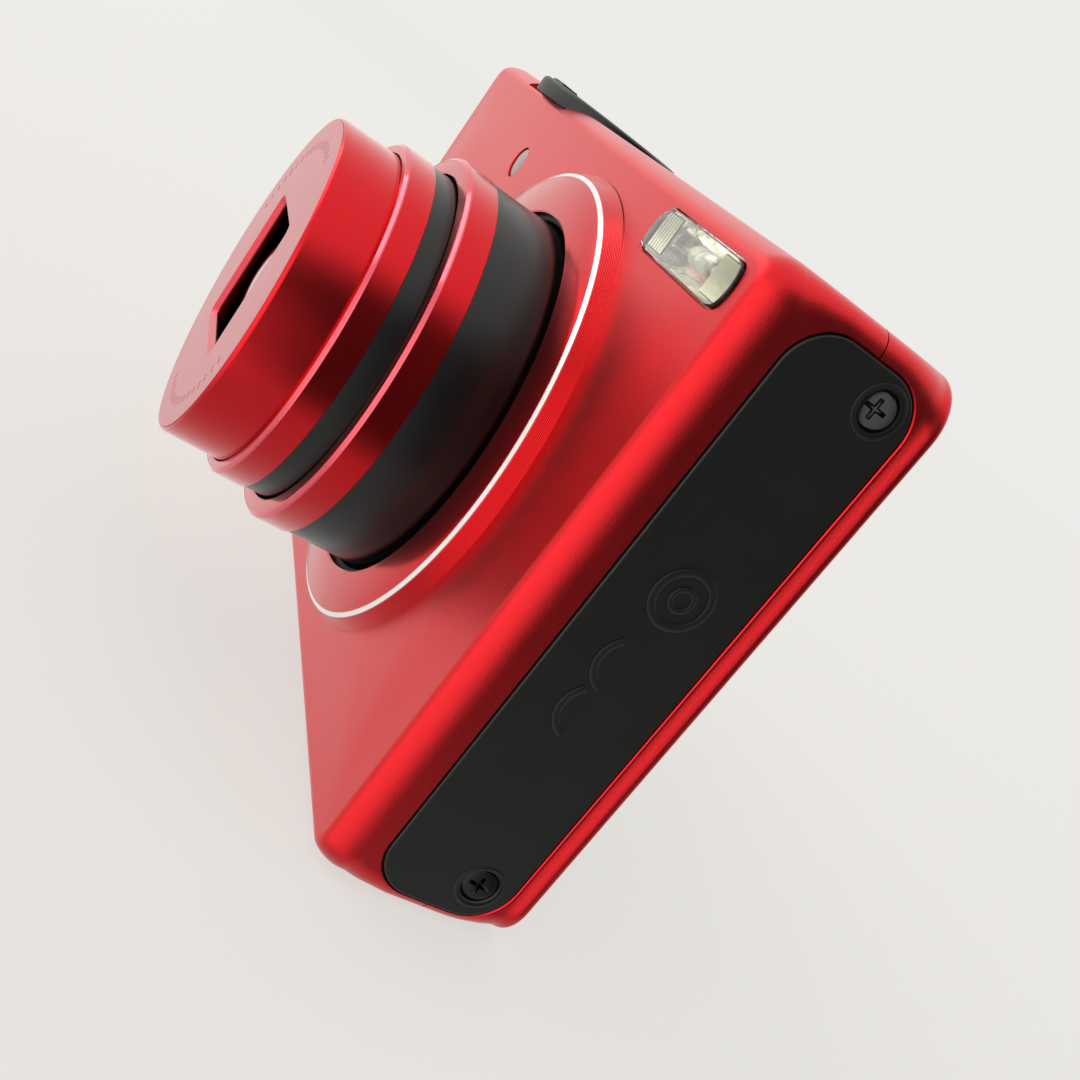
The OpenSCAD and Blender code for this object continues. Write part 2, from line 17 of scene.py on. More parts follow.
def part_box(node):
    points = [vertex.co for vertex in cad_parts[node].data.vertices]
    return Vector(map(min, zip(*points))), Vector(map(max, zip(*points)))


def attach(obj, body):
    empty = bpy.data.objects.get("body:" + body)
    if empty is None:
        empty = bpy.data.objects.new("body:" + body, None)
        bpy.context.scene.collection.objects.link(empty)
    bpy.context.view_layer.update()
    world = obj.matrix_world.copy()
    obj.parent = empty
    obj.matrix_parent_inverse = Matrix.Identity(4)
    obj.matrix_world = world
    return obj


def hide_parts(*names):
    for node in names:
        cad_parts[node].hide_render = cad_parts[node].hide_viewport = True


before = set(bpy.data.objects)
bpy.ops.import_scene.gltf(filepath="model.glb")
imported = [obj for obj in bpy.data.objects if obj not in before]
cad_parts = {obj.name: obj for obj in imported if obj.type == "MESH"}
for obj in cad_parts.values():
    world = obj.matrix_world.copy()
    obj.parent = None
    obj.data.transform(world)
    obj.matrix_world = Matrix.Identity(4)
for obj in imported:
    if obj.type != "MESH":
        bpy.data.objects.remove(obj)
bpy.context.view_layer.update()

MM = 0.001
CASING = "casing"
SOFT_TURN = 32.0  # degrees: an edge that turns less than this is shaded round
TAB_BEARING = 205.0  # degrees: where the zoom lever's finger tab points
POST_X = (-38.0, -18.0)  # where the battery door's two hinge posts start
WELL_SPREAD = 41.0  # degrees to each side of the tab where the lever's well opens to the front
LOG = logging.getLogger("camera")

Pair = tuple[float, float]
Ring = list[tuple[float, float, float]]


# ---- measuring ---------------------------------------------------------------


class Axis(Enum):
    """The direction that a flat outline is drawn along."""

    X = "x"
    Y = "y"
    Z = "z"

    def at(self, u: float, v: float, d: float) -> tuple[float, float, float]:
        """The point at (u, v) on the outline's plane and d along the axis."""
        return {"x": (d, u, v), "y": (u, d, v), "z": (u, v, d)}[self.value]


@dataclass(frozen=True)
class Box:
    """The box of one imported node, in millimetres."""

    low: Vector
    high: Vector

    @classmethod
    def of(cls, node: str) -> "Box":
        """The box of the named node."""
        low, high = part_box(node)
        return cls(Vector(low) / MM, Vector(high) / MM)

    @property
    def mid(self) -> Vector:
        """Its middle."""
        return (self.low + self.high) / 2

    @property
    def size(self) -> Vector:
        """Its three sides."""
        return self.high - self.low


# ---- colours and nodes ---------------------------------------------------------


def linear(hex_colour: str) -> tuple[float, float, float, float]:
    """Turns an sRGB hex colour into linear light.

    Args:
        hex_colour: Six hex digits after a hash.

    Returns:
        Red, green, blue and a full alpha.
    """
    parts = [int(hex_colour[i:i + 2], 16) / 255 for i in (1, 3, 5)]
    rgb = [c / 12.92 if c <= 0.04045 else ((c + 0.055) / 1.055) ** 2.4 for c in parts]
    return rgb[0], rgb[1], rgb[2], 1.0


def add_node(tree: bpy.types.NodeTree, kind: str, settings: dict | None = None,
             links: dict | None = None) -> bpy.types.Node:
    """Adds a node with its settings and links.

    Args:
        tree: The tree that gets the node.
        kind: The node's type name.
        settings: Attributes by name, and socket values by socket name.
        links: Output sockets by the name or number of the input they feed.

    Returns:
        The new node.
    """
    node = tree.nodes.new(kind)
    for key, value in (settings or {}).items():
        if isinstance(key, str) and hasattr(node, key) and key not in node.inputs:
            setattr(node, key, value)
        else:
            node.inputs[key].default_value = value
    for key, source in (links or {}).items():
        tree.links.new(source, node.inputs[key])
    return node


class Grain(Enum):
    """How a surface's fine relief runs."""

    BLASTED = "even grains from blasting or spark erosion"
    TURNED = "rings left by the lathe"
    BRUSHED = "short lines along the width"
    CRUSHED = "soft creases of thin formed foil"


@dataclass(frozen=True)
class Finish:
    """One real finish, and how it is drawn."""

    name: str
    colour: str
    roughness: float
    metallic: float = 0.0
    grain: Grain = Grain.BLASTED
    grain_mm: float = 0.15
    relief_mm: float = 0.004
    mottle: float = 0.08
    rough_swing: float = 0.05
    coat: float = 0.0
    coat_roughness: float = 0.1
    ior: float = 1.5
    transmission: float = 0.0
    glow: float = 0.0

    def pattern(self, tree: bpy.types.NodeTree, centre: Vector) -> bpy.types.NodeSocket:
        """Draws the fine relief as a height.

        Args:
            tree: The material's tree.
            centre: The axis that turned rings run round, in millimetres.

        Returns:
            The height socket.
        """
        place = add_node(tree, "ShaderNodeTexCoord").outputs["Object"]
        scale = 1 / (self.grain_mm * MM)
        if self.grain is Grain.TURNED:
            shift = add_node(tree, "ShaderNodeMapping", {"Location": [-c * MM for c in centre]},
                             {"Vector": place})
            split = add_node(tree, "ShaderNodeSeparateXYZ", None, {0: shift.outputs[0]})
            flat = add_node(tree, "ShaderNodeCombineXYZ", None,
                            {"X": split.outputs["X"], "Z": split.outputs["Z"]})
            reach = add_node(tree, "ShaderNodeVectorMath", {"operation": "LENGTH"},
                             {0: flat.outputs[0]})
            along = add_node(tree, "ShaderNodeMath", {"operation": "ADD"},
                             {0: reach.outputs["Value"], 1: split.outputs["Y"]})
            rings = add_node(tree, "ShaderNodeTexNoise",
                             {"noise_dimensions": "1D", "Scale": scale, "Detail": 2.0},
                             {"W": along.outputs[0]})
            return rings.outputs[0]
        stretch = {Grain.BRUSHED: (0.04, 1, 1), Grain.CRUSHED: (1, 1, 0.5)}.get(self.grain, (1, 1, 1))
        shaped = add_node(tree, "ShaderNodeMapping", {"Scale": stretch}, {"Vector": place})
        grains = add_node(tree, "ShaderNodeTexNoise", {"Scale": scale, "Detail": 2.0, "Roughness": 0.6},
                          {"Vector": shaped.outputs[0]})
        return grains.outputs[0]

    def build(self, centre: Vector = Vector((0, 0, 0))) -> bpy.types.Material:
        """Makes the material.

        Args:
            centre: The axis that turned rings run round, in millimetres.

        Returns:
            The material.
        """
        mat = bpy.data.materials.new(self.name)
        mat.use_nodes = True
        tree = mat.node_tree
        tree.nodes.clear()
        place = add_node(tree, "ShaderNodeTexCoord").outputs["Object"]
        cloud = add_node(tree, "ShaderNodeTexNoise", {"Scale": 1 / (3 * MM), "Detail": 3.0},
                         {"Vector": place})
        red, green, blue, _ = linear(self.colour)
        dark, light = 1 - self.mottle, 1 + self.mottle
        tint = add_node(tree, "ShaderNodeMix", {"data_type": "RGBA"}, {"Factor": cloud.outputs[0]})
        tint.inputs[6].default_value = (red * dark, green * dark, blue * dark, 1)
        tint.inputs[7].default_value = (min(red * light, 1), min(green * light, 1), min(blue * light, 1), 1)
        swing = add_node(tree, "ShaderNodeMapRange",
                         {"From Min": 0.3, "From Max": 0.7,
                          "To Min": max(self.roughness - self.rough_swing, 0.02),
                          "To Max": self.roughness + self.rough_swing}, {0: cloud.outputs[0]})
        relief = add_node(tree, "ShaderNodeBump",
                          {"Strength": 1.0, "Distance": self.relief_mm * MM},
                          {"Height": self.pattern(tree, centre)})
        sockets = {"Metallic": self.metallic, "IOR": self.ior, "Coat Weight": self.coat,
                   "Coat Roughness": self.coat_roughness, "Transmission Weight": self.transmission}
        if self.glow:
            sockets.update({"Emission Color": linear(self.colour), "Emission Strength": self.glow})
        shader = add_node(tree, "ShaderNodeBsdfPrincipled", sockets,
                          {"Base Color": tint.outputs[2], "Roughness": swing.outputs[0],
                           "Normal": relief.outputs[0]})
        add_node(tree, "ShaderNodeOutputMaterial", None, {"Surface": shader.outputs[0]})
        return mat


FINISHES = {
    # Blasted and dyed aluminium: satin, with a pale bloom at a low angle and a fine glitter.
    "red_anodised": Finish("red_anodised_aluminium", "#d80c19", 0.34, 1.0, grain_mm=0.2,
                           relief_mm=0.018, mottle=0.02, rough_swing=0.015, coat=0.5, coat_roughness=0.42),
    # The same dye on turned rings: tighter, deeper reflections with faint lathe lines.
    "red_turned": Finish("red_turned_aluminium", "#d00c19", 0.17, 1.0, Grain.TURNED, 0.09,
                         0.0012, 0.02, 0.02, coat=0.4, coat_roughness=0.25),
    # The polished lip of each ring: the same dye, but nearly a mirror; its paler red is a painted highlight.
    "lip_painted_highlight": Finish("polished_red_lip_painted_highlight", "#e2606c", 0.1, 1.0, Grain.TURNED, 0.09, 0.0008, 0.02, 0.02),
    # Red front plate, finely blasted before dyeing.
    "red_plate": Finish("red_blasted_plate", "#c8283a", 0.34, 1.0, grain_mm=0.12, relief_mm=0.004,
                        mottle=0.02, rough_swing=0.015, coat=1.0, coat_roughness=0.42),
    # Diamond-cut edge, bare metal: a bright line that takes the whole room.
    "bright_cut": Finish("diamond_cut_aluminium", "#f2f1ee", 0.16, 1.0, Grain.TURNED, 0.12,
                         0.0015, 0.02, 0.03),
    # Moulded black ABS with a spark-eroded skin.
    "black_plastic": Finish("black_moulded_abs", "#101110", 0.42, grain_mm=0.16, relief_mm=0.006,
                            mottle=0.05, rough_swing=0.02),
    # Black anodised tube: dull, with rings from the lathe.
    "black_tube": Finish("black_anodised_tube", "#010101", 0.3, 0.0, Grain.TURNED, 0.1, 0.0015,
                         0.1, 0.03),
    # Blackened steel screws: darker in the recess, a little oily.
    "black_screw": Finish("blackened_steel", "#3a3b3b", 0.34, 1.0, grain_mm=0.1, relief_mm=0.003),
    # Plain steel sheet and pins.
    "steel": Finish("rolled_steel", "#b9bcc0", 0.3, 1.0, Grain.BRUSHED, 0.12, 0.002),
    # Satin chrome on the keys.
    "chrome_key": Finish("satin_chrome", "#d4d5d7", 0.24, 1.0, grain_mm=0.1, relief_mm=0.001,
                         rough_swing=0.04),
    # Turned brass.
    "brass": Finish("turned_brass", "#c9a550", 0.26, 1.0, Grain.TURNED, 0.1, 0.002),
    # Clear acrylic over the flash and the lamp.
    "clear_glass": Finish("clear_acrylic", "#f6f7f2", 0.04, ior=1.49, transmission=1.0,
                          grain_mm=1.2, relief_mm=0.002, mottle=0.01, rough_swing=0.01),
    # Prism ribs moulded behind the flash pane: total reflection makes them shine like metal.
    "prism": Finish("ribbed_prism_acrylic", "#dcdcc4", 0.14, 1.0, grain_mm=1.0, relief_mm=0.01, mottle=0.1),
    # Frosted acrylic over the small lamp.
    "frosted": Finish("frosted_acrylic", "#b9aca8", 0.34, ior=1.49, transmission=0.35, grain_mm=0.3,
                      relief_mm=0.004, mottle=0.03, rough_swing=0.02),
    # Coated front glass: near black inside, with a strong bloom at a low angle.
    "lens_glass": Finish("coated_lens_glass", "#2a2f33", 0.03, ior=1.9, grain_mm=4,
                         relief_mm=0.0004, coat=1.0, coat_roughness=0.02, rough_swing=0.01),
    # Hard-coated black window in front of the display.
    "dark_window": Finish("black_display_window", "#08090a", 0.06, ior=1.5, grain_mm=5,
                          relief_mm=0.0004, coat=1.0, coat_roughness=0.02, rough_swing=0.01),
    # Solder-masked board.
    "board": Finish("green_circuit_board", "#1d5a34", 0.4, grain_mm=0.5, relief_mm=0.02, mottle=0.25),
    # Sleeve of the battery pack.
    "cell": Finish("grey_battery_sleeve", "#3c3f44", 0.45, grain_mm=0.2, relief_mm=0.004),
    # Blue moulded card.
    "card_blue": Finish("blue_moulded_card", "#1f3f87", 0.4, grain_mm=0.15, relief_mm=0.004),
    # Soft black rubber under the keys and round the doors.
    "rubber": Finish("black_soft_rubber", "#161616", 0.62, grain_mm=0.2, relief_mm=0.006, mottle=0.15),
    # Thin polished foil formed into the flash trough, with a painted glow: it gives off a faint light of its
    # own, though it is no lamp.
    "foil": Finish("formed_reflector_foil_painted_glow", "#f4f2ea", 0.14, 1.0, Grain.CRUSHED, 0.8, 0.09, 0.04,
                   glow=0.1),
    # Painted shade: a dark acrylic sheet behind the prism ribs, standing in for the shadow between them.
    "rib_painted_shade": Finish("acrylic_painted_shade", "#4a4a40", 0.3, grain_mm=0.3, relief_mm=0.003),
    # Paint in the engraved marks.
    "mark_fill": Finish("dark_engraving_fill", "#8a2630", 0.55, grain_mm=0.1, relief_mm=0.003),
    # Pale paint in the marks on the rear keys.
    "pale_mark": Finish("pale_engraving_fill", "#cfd0cf", 0.5, grain_mm=0.1, relief_mm=0.002),
}


class Dresser:
    """Builds each finish once and puts it on pieces."""

    def __init__(self, lens_axis: Vector) -> None:
        """Remembers the lens axis, which turned rings run round."""
        self.lens_axis = lens_axis
        self.made: dict[str, bpy.types.Material] = {}

    def get(self, key: str) -> bpy.types.Material:
        """The material of the named finish."""
        if key not in self.made:
            self.made[key] = FINISHES[key].build(self.lens_axis)
        return self.made[key]

    def dress(self, obj: bpy.types.Object, key: str) -> None:
        """Gives the whole piece one finish."""
        obj.data.materials.clear()
        obj.data.materials.append(self.get(key))

    def place(self, obj: bpy.types.Object, key: str, body: str, slot: str, *nodes: str) -> bpy.types.Object:
        """Gives a finished piece its finish and its seat.

        Args:
            obj: The piece.
            key: Its finish.
            body: The body that it rides on.
            slot: The record's material slot.
            nodes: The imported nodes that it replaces.

        Returns:
            The same piece.
        """
        self.dress(obj, key)
        return seat(obj, body, slot, *nodes)

    def dress_node(self, node: str, key: str) -> None:
        """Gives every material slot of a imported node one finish."""
        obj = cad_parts[node]
        for i in range(len(obj.data.materials)):
            obj.data.materials[i] = self.get(key)
        if not obj.data.materials:
            obj.data.materials.append(self.get(key))


# ---- shapes --------------------------------------------------------------------


def eased(points: Sequence[Pair], radius: float, steps: int = 3) -> list[Pair]:
    """Rounds the corners of a closed flat outline.

    Args:
        points: The outline's corners.
        radius: The radius at every corner; short sides get less.
        steps: Segments to a corner.

    Returns:
        The rounded outline.
    """
    out: list[Pair] = []
    count = len(points)
    for i, corner in enumerate(points):
        p = Vector(corner)
        arms = [Vector(points[i - 1]) - p, Vector(points[(i + 1) % count]) - p]
        reach = min(radius, 0.48 * arms[0].length, 0.48 * arms[1].length)
        a, b = (p + arm.normalized() * reach for arm in arms)
        for k in range(steps + 1):
            s = k / steps
            q = a * (1 - s) ** 2 + p * (2 * s * (1 - s)) + b * s ** 2
            out.append((q.x, q.y))
    return out


def outline(low: Pair, high: Pair, r: float, arc: int = 8, sides: Pair = (1, 1)) -> list[Pair]:
    """A rectangle with round corners, anticlockwise from its lower right corner.

    Args:
        low: Its lower left corner.
        high: Its upper right corner.
        r: Corner radius.
        arc: Segments to a corner.
        sides: Segments along the two long and the two upright sides.

    Returns:
        The outline's points.
    """
    r = max(r, 0.01)
    mids = [(high[0] - r, low[1] + r), (high[0] - r, high[1] - r),
            (low[0] + r, high[1] - r), (low[0] + r, low[1] + r)]
    points: list[Pair] = []
    for i, (u, v) in enumerate(mids):
        turn = -math.pi / 2 + i * math.pi / 2
        points += [(u + r * math.cos(turn + k * math.pi / 2 / arc),
                    v + r * math.sin(turn + k * math.pi / 2 / arc)) for k in range(arc + 1)]
        nxt = mids[(i + 1) % 4]
        end = turn + math.pi / 2
        a = Vector(points[-1])
        b = Vector((nxt[0] + r * math.cos(end), nxt[1] + r * math.sin(end)))
        cuts = int(sides[1] if i % 2 == 0 else sides[0])
        points += [tuple(a.lerp(b, k / cuts)) for k in range(1, cuts)]
    return points


def skin(bm: bmesh.types.BMesh, rings: Sequence[Ring]) -> None:
    """Stretches a skin over rings of equal count and closes its two ends.

    Args:
        bm: The mesh that gets the skin.
        rings: The rings, in order.
    """
    rows = [[bm.verts.new(p) for p in ring] for ring in rings]
    count = len(rows[0])
    for a, b in zip(rows, rows[1:]):
        for i in range(count):
            j = (i + 1) % count
            bm.faces.new((a[i], a[j], b[j], b[i]))
    bm.faces.new(rows[0])
    bm.faces.new(rows[-1])


def plate(bm: bmesh.types.BMesh, axis: Axis, flat: Callable[[float], list[Pair]],
          span: Pair, ease: Pair = (0.0, 0.0), steps: int = 3) -> None:
    """A flat plate along an axis, with eased edges at its two faces.

    Args:
        bm: The mesh that gets the plate.
        axis: The plate's thickness runs along it.
        flat: Gives the outline, drawn in by its argument.
        span: Where the plate starts and ends along the axis.
        ease: Edge radius at the start and at the end; a negative one flares outwards.
        steps: Segments to an edge.
    """
    rings: list[Ring] = []
    for end, e, way in ((span[0], ease[0], 1), (span[1], ease[1], -1)):
        part: list[Ring] = []
        size = abs(e)
        for k in range(steps + 1 if size else 1):
            a = (k / steps) * math.pi / 2 if size else 0
            if e >= 0:
                inset, depth = size * (1 - math.sin(a)), size * (1 - math.cos(a))
            else:
                inset, depth = -size * (1 - k / steps), size * k / steps
            part.append([axis.at(u, v, end + way * depth) for u, v in flat(inset)])
        rings += part if way == 1 else part[::-1]
    skin(bm, rings)


def box_flat(low: Pair, high: Pair, r: float, arc: int = 8) -> Callable[[float], list[Pair]]:
    """The outline of a plate with round corners, as plate() asks for it."""
    return lambda e: outline((low[0] + e, low[1] + e), (high[0] - e, high[1] - e), r - e, arc)


def disc_flat(at: Pair, r: float, steps: int = 64) -> Callable[[float], list[Pair]]:
    """The outline of a round plate, as plate() asks for it."""
    return lambda e: [(at[0] + (r - e) * math.cos(k * math.tau / steps),
                       at[1] + (r - e) * math.sin(k * math.tau / steps)) for k in range(steps)]


def path_flat(points: Sequence[Pair]) -> Callable[[float], list[Pair]]:
    """The outline of a plate of any shape, as plate() asks for it; drawn in along its normals."""
    count = len(points)

    def drawn(e: float) -> list[Pair]:
        """The outline drawn in by e."""
        out = []
        for i in range(count):
            a, p, b = (Vector(points[j % count]) for j in (i - 1, i, i + 1))
            t = (p - a).normalized() + (b - p).normalized()
            n = Vector((-t.y, t.x)).normalized()
            out.append(tuple(p + n * e))
        return out

    return drawn


def lathe(bm: bmesh.types.BMesh, profile: Sequence[Pair], axis: Axis, at: Pair,
          steps: int = 128, loop: bool = True) -> None:
    """Turns a profile round an axis.

    Args:
        bm: The mesh that gets the turned shape.
        profile: Radius and place along the axis, in order.
        axis: The axis that it turns round.
        at: Where the axis runs.
        steps: Segments round the axis.
        loop: Whether the profile closes on itself, as a ring's does.
    """
    rows = []
    for r, d in profile:
        if r < 1e-6:
            rows.append([bm.verts.new(axis.at(at[0], at[1], d))])
            continue
        rows.append([bm.verts.new(axis.at(at[0] + r * math.cos(k * math.tau / steps),
                                          at[1] + r * math.sin(k * math.tau / steps), d))
                     for k in range(steps)])
    pairs = list(zip(rows, rows[1:])) + ([(rows[-1], rows[0])] if loop else [])
    for a, b in pairs:
        for i in range(steps):
            j = (i + 1) % steps
            corners = [a[i % len(a)], a[j % len(a)], b[j % len(b)], b[i % len(b)]]
            corners = list(dict.fromkeys(corners))
            if len(corners) > 2:
                bm.faces.new(corners)


def to_object(name: str, bm: bmesh.types.BMesh, sharp: float = SOFT_TURN) -> bpy.types.Object:
    """Turns a mesh drawn in millimetres into a smooth-shaded object in metres.

    Args:
        name: The object's name.
        bm: The mesh, which is used up.
        sharp: Edges that turn by more than this many degrees stay sharp.

    Returns:
        The object.
    """
    bmesh.ops.recalc_face_normals(bm, faces=bm.faces[:])
    bmesh.ops.scale(bm, vec=(MM, MM, MM), verts=bm.verts[:])
    mesh = bpy.data.meshes.new(name)
    bm.to_mesh(mesh)
    bm.free()
    obj = bpy.data.objects.new(name, mesh)
    bpy.context.scene.collection.objects.link(obj)
    shade(obj, sharp)
    return obj


def shape(name: str, draw: Callable[[bmesh.types.BMesh], None], sharp: float = SOFT_TURN) -> bpy.types.Object:
    """Draws one mesh and makes it an object.

    Args:
        name: The object's name.
        draw: Draws the mesh in millimetres.
        sharp: Edges that turn by more than this many degrees stay sharp.

    Returns:
        The object.
    """
    bm = bmesh.new()
    draw(bm)
    return to_object(name, bm, sharp)


def shade(obj: bpy.types.Object, sharp: float = SOFT_TURN) -> None:
    """Smooths an object's shading up to an angle."""
    obj.data.polygons.foreach_set("use_smooth", [True] * len(obj.data.polygons))
    obj.data.set_sharp_from_angle(angle=math.radians(sharp))


def settle(obj: bpy.types.Object) -> None:
    """Turns an object's modifiers into plain mesh."""
    evaluated = obj.evaluated_get(bpy.context.evaluated_depsgraph_get())
    mesh = bpy.data.meshes.new_from_object(evaluated)
    old = obj.data
    obj.modifiers.clear()
    obj.data = mesh
    bpy.data.meshes.remove(old)


class Cut(Enum):
    """What a carving step does with the second solid."""

    AWAY = "DIFFERENCE"
    KEEP = "INTERSECT"
    JOIN = "UNION"


def carve(obj: bpy.types.Object, draw: Callable[[bmesh.types.BMesh], None], cut: Cut = Cut.AWAY) -> None:
    """Cuts, keeps or joins a solid that is drawn for the purpose.

    Args:
        obj: The object that is changed.
        draw: Draws the second solid in millimetres.
        cut: What is done with it.
    """
    tool = shape("cutter", draw)
    mod = obj.modifiers.new("carve", "BOOLEAN")
    mod.operation = cut.value
    mod.object = tool
    mod.solver = "MANIFOLD"
    settle(obj)
    bpy.data.objects.remove(tool)


def weigh(obj: bpy.types.Object, sharp: float = SOFT_TURN) -> None:
    """Lets large flat faces lead the shading of a carved shape."""
    shade(obj, sharp)
    mod = obj.modifiers.new("normals", "WEIGHTED_NORMAL")
    mod.keep_sharp = True
    settle(obj)


def copies_tree() -> bpy.types.NodeTree:
    """The node tree that sets out copies of a master along a line or round a ring."""
    name = "set_out_copies"
    if name in bpy.data.node_groups:
        return bpy.data.node_groups[name]
    tree = bpy.data.node_groups.new(name, "GeometryNodeTree")
    face = tree.interface
    face.new_socket("Geometry", in_out="OUTPUT", socket_type="NodeSocketGeometry")
    for label, kind in (("Master", "Object"), ("Count", "Int"), ("Start", "Vector"), ("Step", "Vector"),
                        ("Turn", "Vector"), ("Turn Step", "Vector"), ("Size Swing", "Float"),
                        ("Seed", "Int"), ("Finish", "Material")):
        face.new_socket(label, in_out="INPUT", socket_type="NodeSocket" + kind)
    ins = add_node(tree, "NodeGroupInput").outputs
    line = add_node(tree, "GeometryNodeMeshLine", {"mode": "OFFSET"},
                    {"Count": ins["Count"], "Start Location": ins["Start"], "Offset": ins["Step"]})
    index = add_node(tree, "GeometryNodeInputIndex").outputs[0]
    grown = add_node(tree, "ShaderNodeVectorMath", {"operation": "SCALE"},
                     {0: ins["Turn Step"], "Scale": index})
    turn = add_node(tree, "ShaderNodeVectorMath", {"operation": "ADD"},
                    {0: ins["Turn"], 1: grown.outputs[0]})
    low = add_node(tree, "ShaderNodeMath", {"operation": "SUBTRACT", 0: 1.0}, {1: ins["Size Swing"]})
    high = add_node(tree, "ShaderNodeMath", {"operation": "ADD", 0: 1.0}, {1: ins["Size Swing"]})
    swing = add_node(tree, "FunctionNodeRandomValue", {"data_type": "FLOAT"},
                     {"Seed": ins["Seed"], 2: low.outputs[0], 3: high.outputs[0]})
    master = add_node(tree, "GeometryNodeObjectInfo", None, {"Object": ins["Master"]})
    put = add_node(tree, "GeometryNodeInstanceOnPoints", None,
                   {"Points": line.outputs[0], "Instance": master.outputs["Geometry"],
                    "Rotation": turn.outputs[0], "Scale": swing.outputs[1]})
    real = add_node(tree, "GeometryNodeRealizeInstances", None, {0: put.outputs[0]})
    done = add_node(tree, "GeometryNodeSetMaterial", None,
                    {"Geometry": real.outputs[0], "Material": ins["Finish"]})
    add_node(tree, "NodeGroupOutput", None, {0: done.outputs[0]})
    return tree


@dataclass
class Copies:
    """Copies of one master, set out along a line or round a ring."""

    count: int
    start: Sequence[float] = (0.0, 0.0, 0.0)
    step: Sequence[float] = (0.0, 0.0, 0.0)
    turn: Sequence[float] = (0.0, 0.0, 0.0)
    turn_step: Sequence[float] = (0.0, 0.0, 0.0)
    swing: float = 0.0
    seed: int = 7

    def make(self, name: str, master: bpy.types.Object, finish: bpy.types.Material) -> bpy.types.Object:
        """Sets the copies out as one plain mesh.

        Args:
            name: The new piece's name.
            master: The shape that repeats, which is used up.
            finish: The copies' material.

        Returns:
            The new piece.
        """
        obj = bpy.data.objects.new(name, bpy.data.meshes.new(name))
        bpy.context.scene.collection.objects.link(obj)
        mod = obj.modifiers.new("copies", "NODES")
        mod.node_group = copies_tree()
        values = {"Master": master, "Count": self.count, "Start": [c * MM for c in self.start],
                  "Step": [c * MM for c in self.step], "Turn": [math.radians(a) for a in self.turn],
                  "Turn Step": [math.radians(a) for a in self.turn_step],
                  "Size Swing": self.swing, "Seed": self.seed, "Finish": finish}
        for item in mod.node_group.interface.items_tree:
            if item.in_out == "INPUT":
                mod[item.identifier] = values[item.name]
        settle(obj)
        obj.data.name = name
        bpy.data.objects.remove(master)
        return obj


def seat(obj: bpy.types.Object, body: str, slot: str, *nodes: str) -> bpy.types.Object:
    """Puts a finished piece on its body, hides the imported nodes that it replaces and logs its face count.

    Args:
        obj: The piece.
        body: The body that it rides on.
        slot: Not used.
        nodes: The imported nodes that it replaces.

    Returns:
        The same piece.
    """
    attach(obj, body)
    if nodes:
        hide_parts(*nodes)
    LOG.info("%s: %d faces on %s", obj.name, len(obj.data.polygons), body)
    return obj


# ---- casing --------------------------------------------------------------------


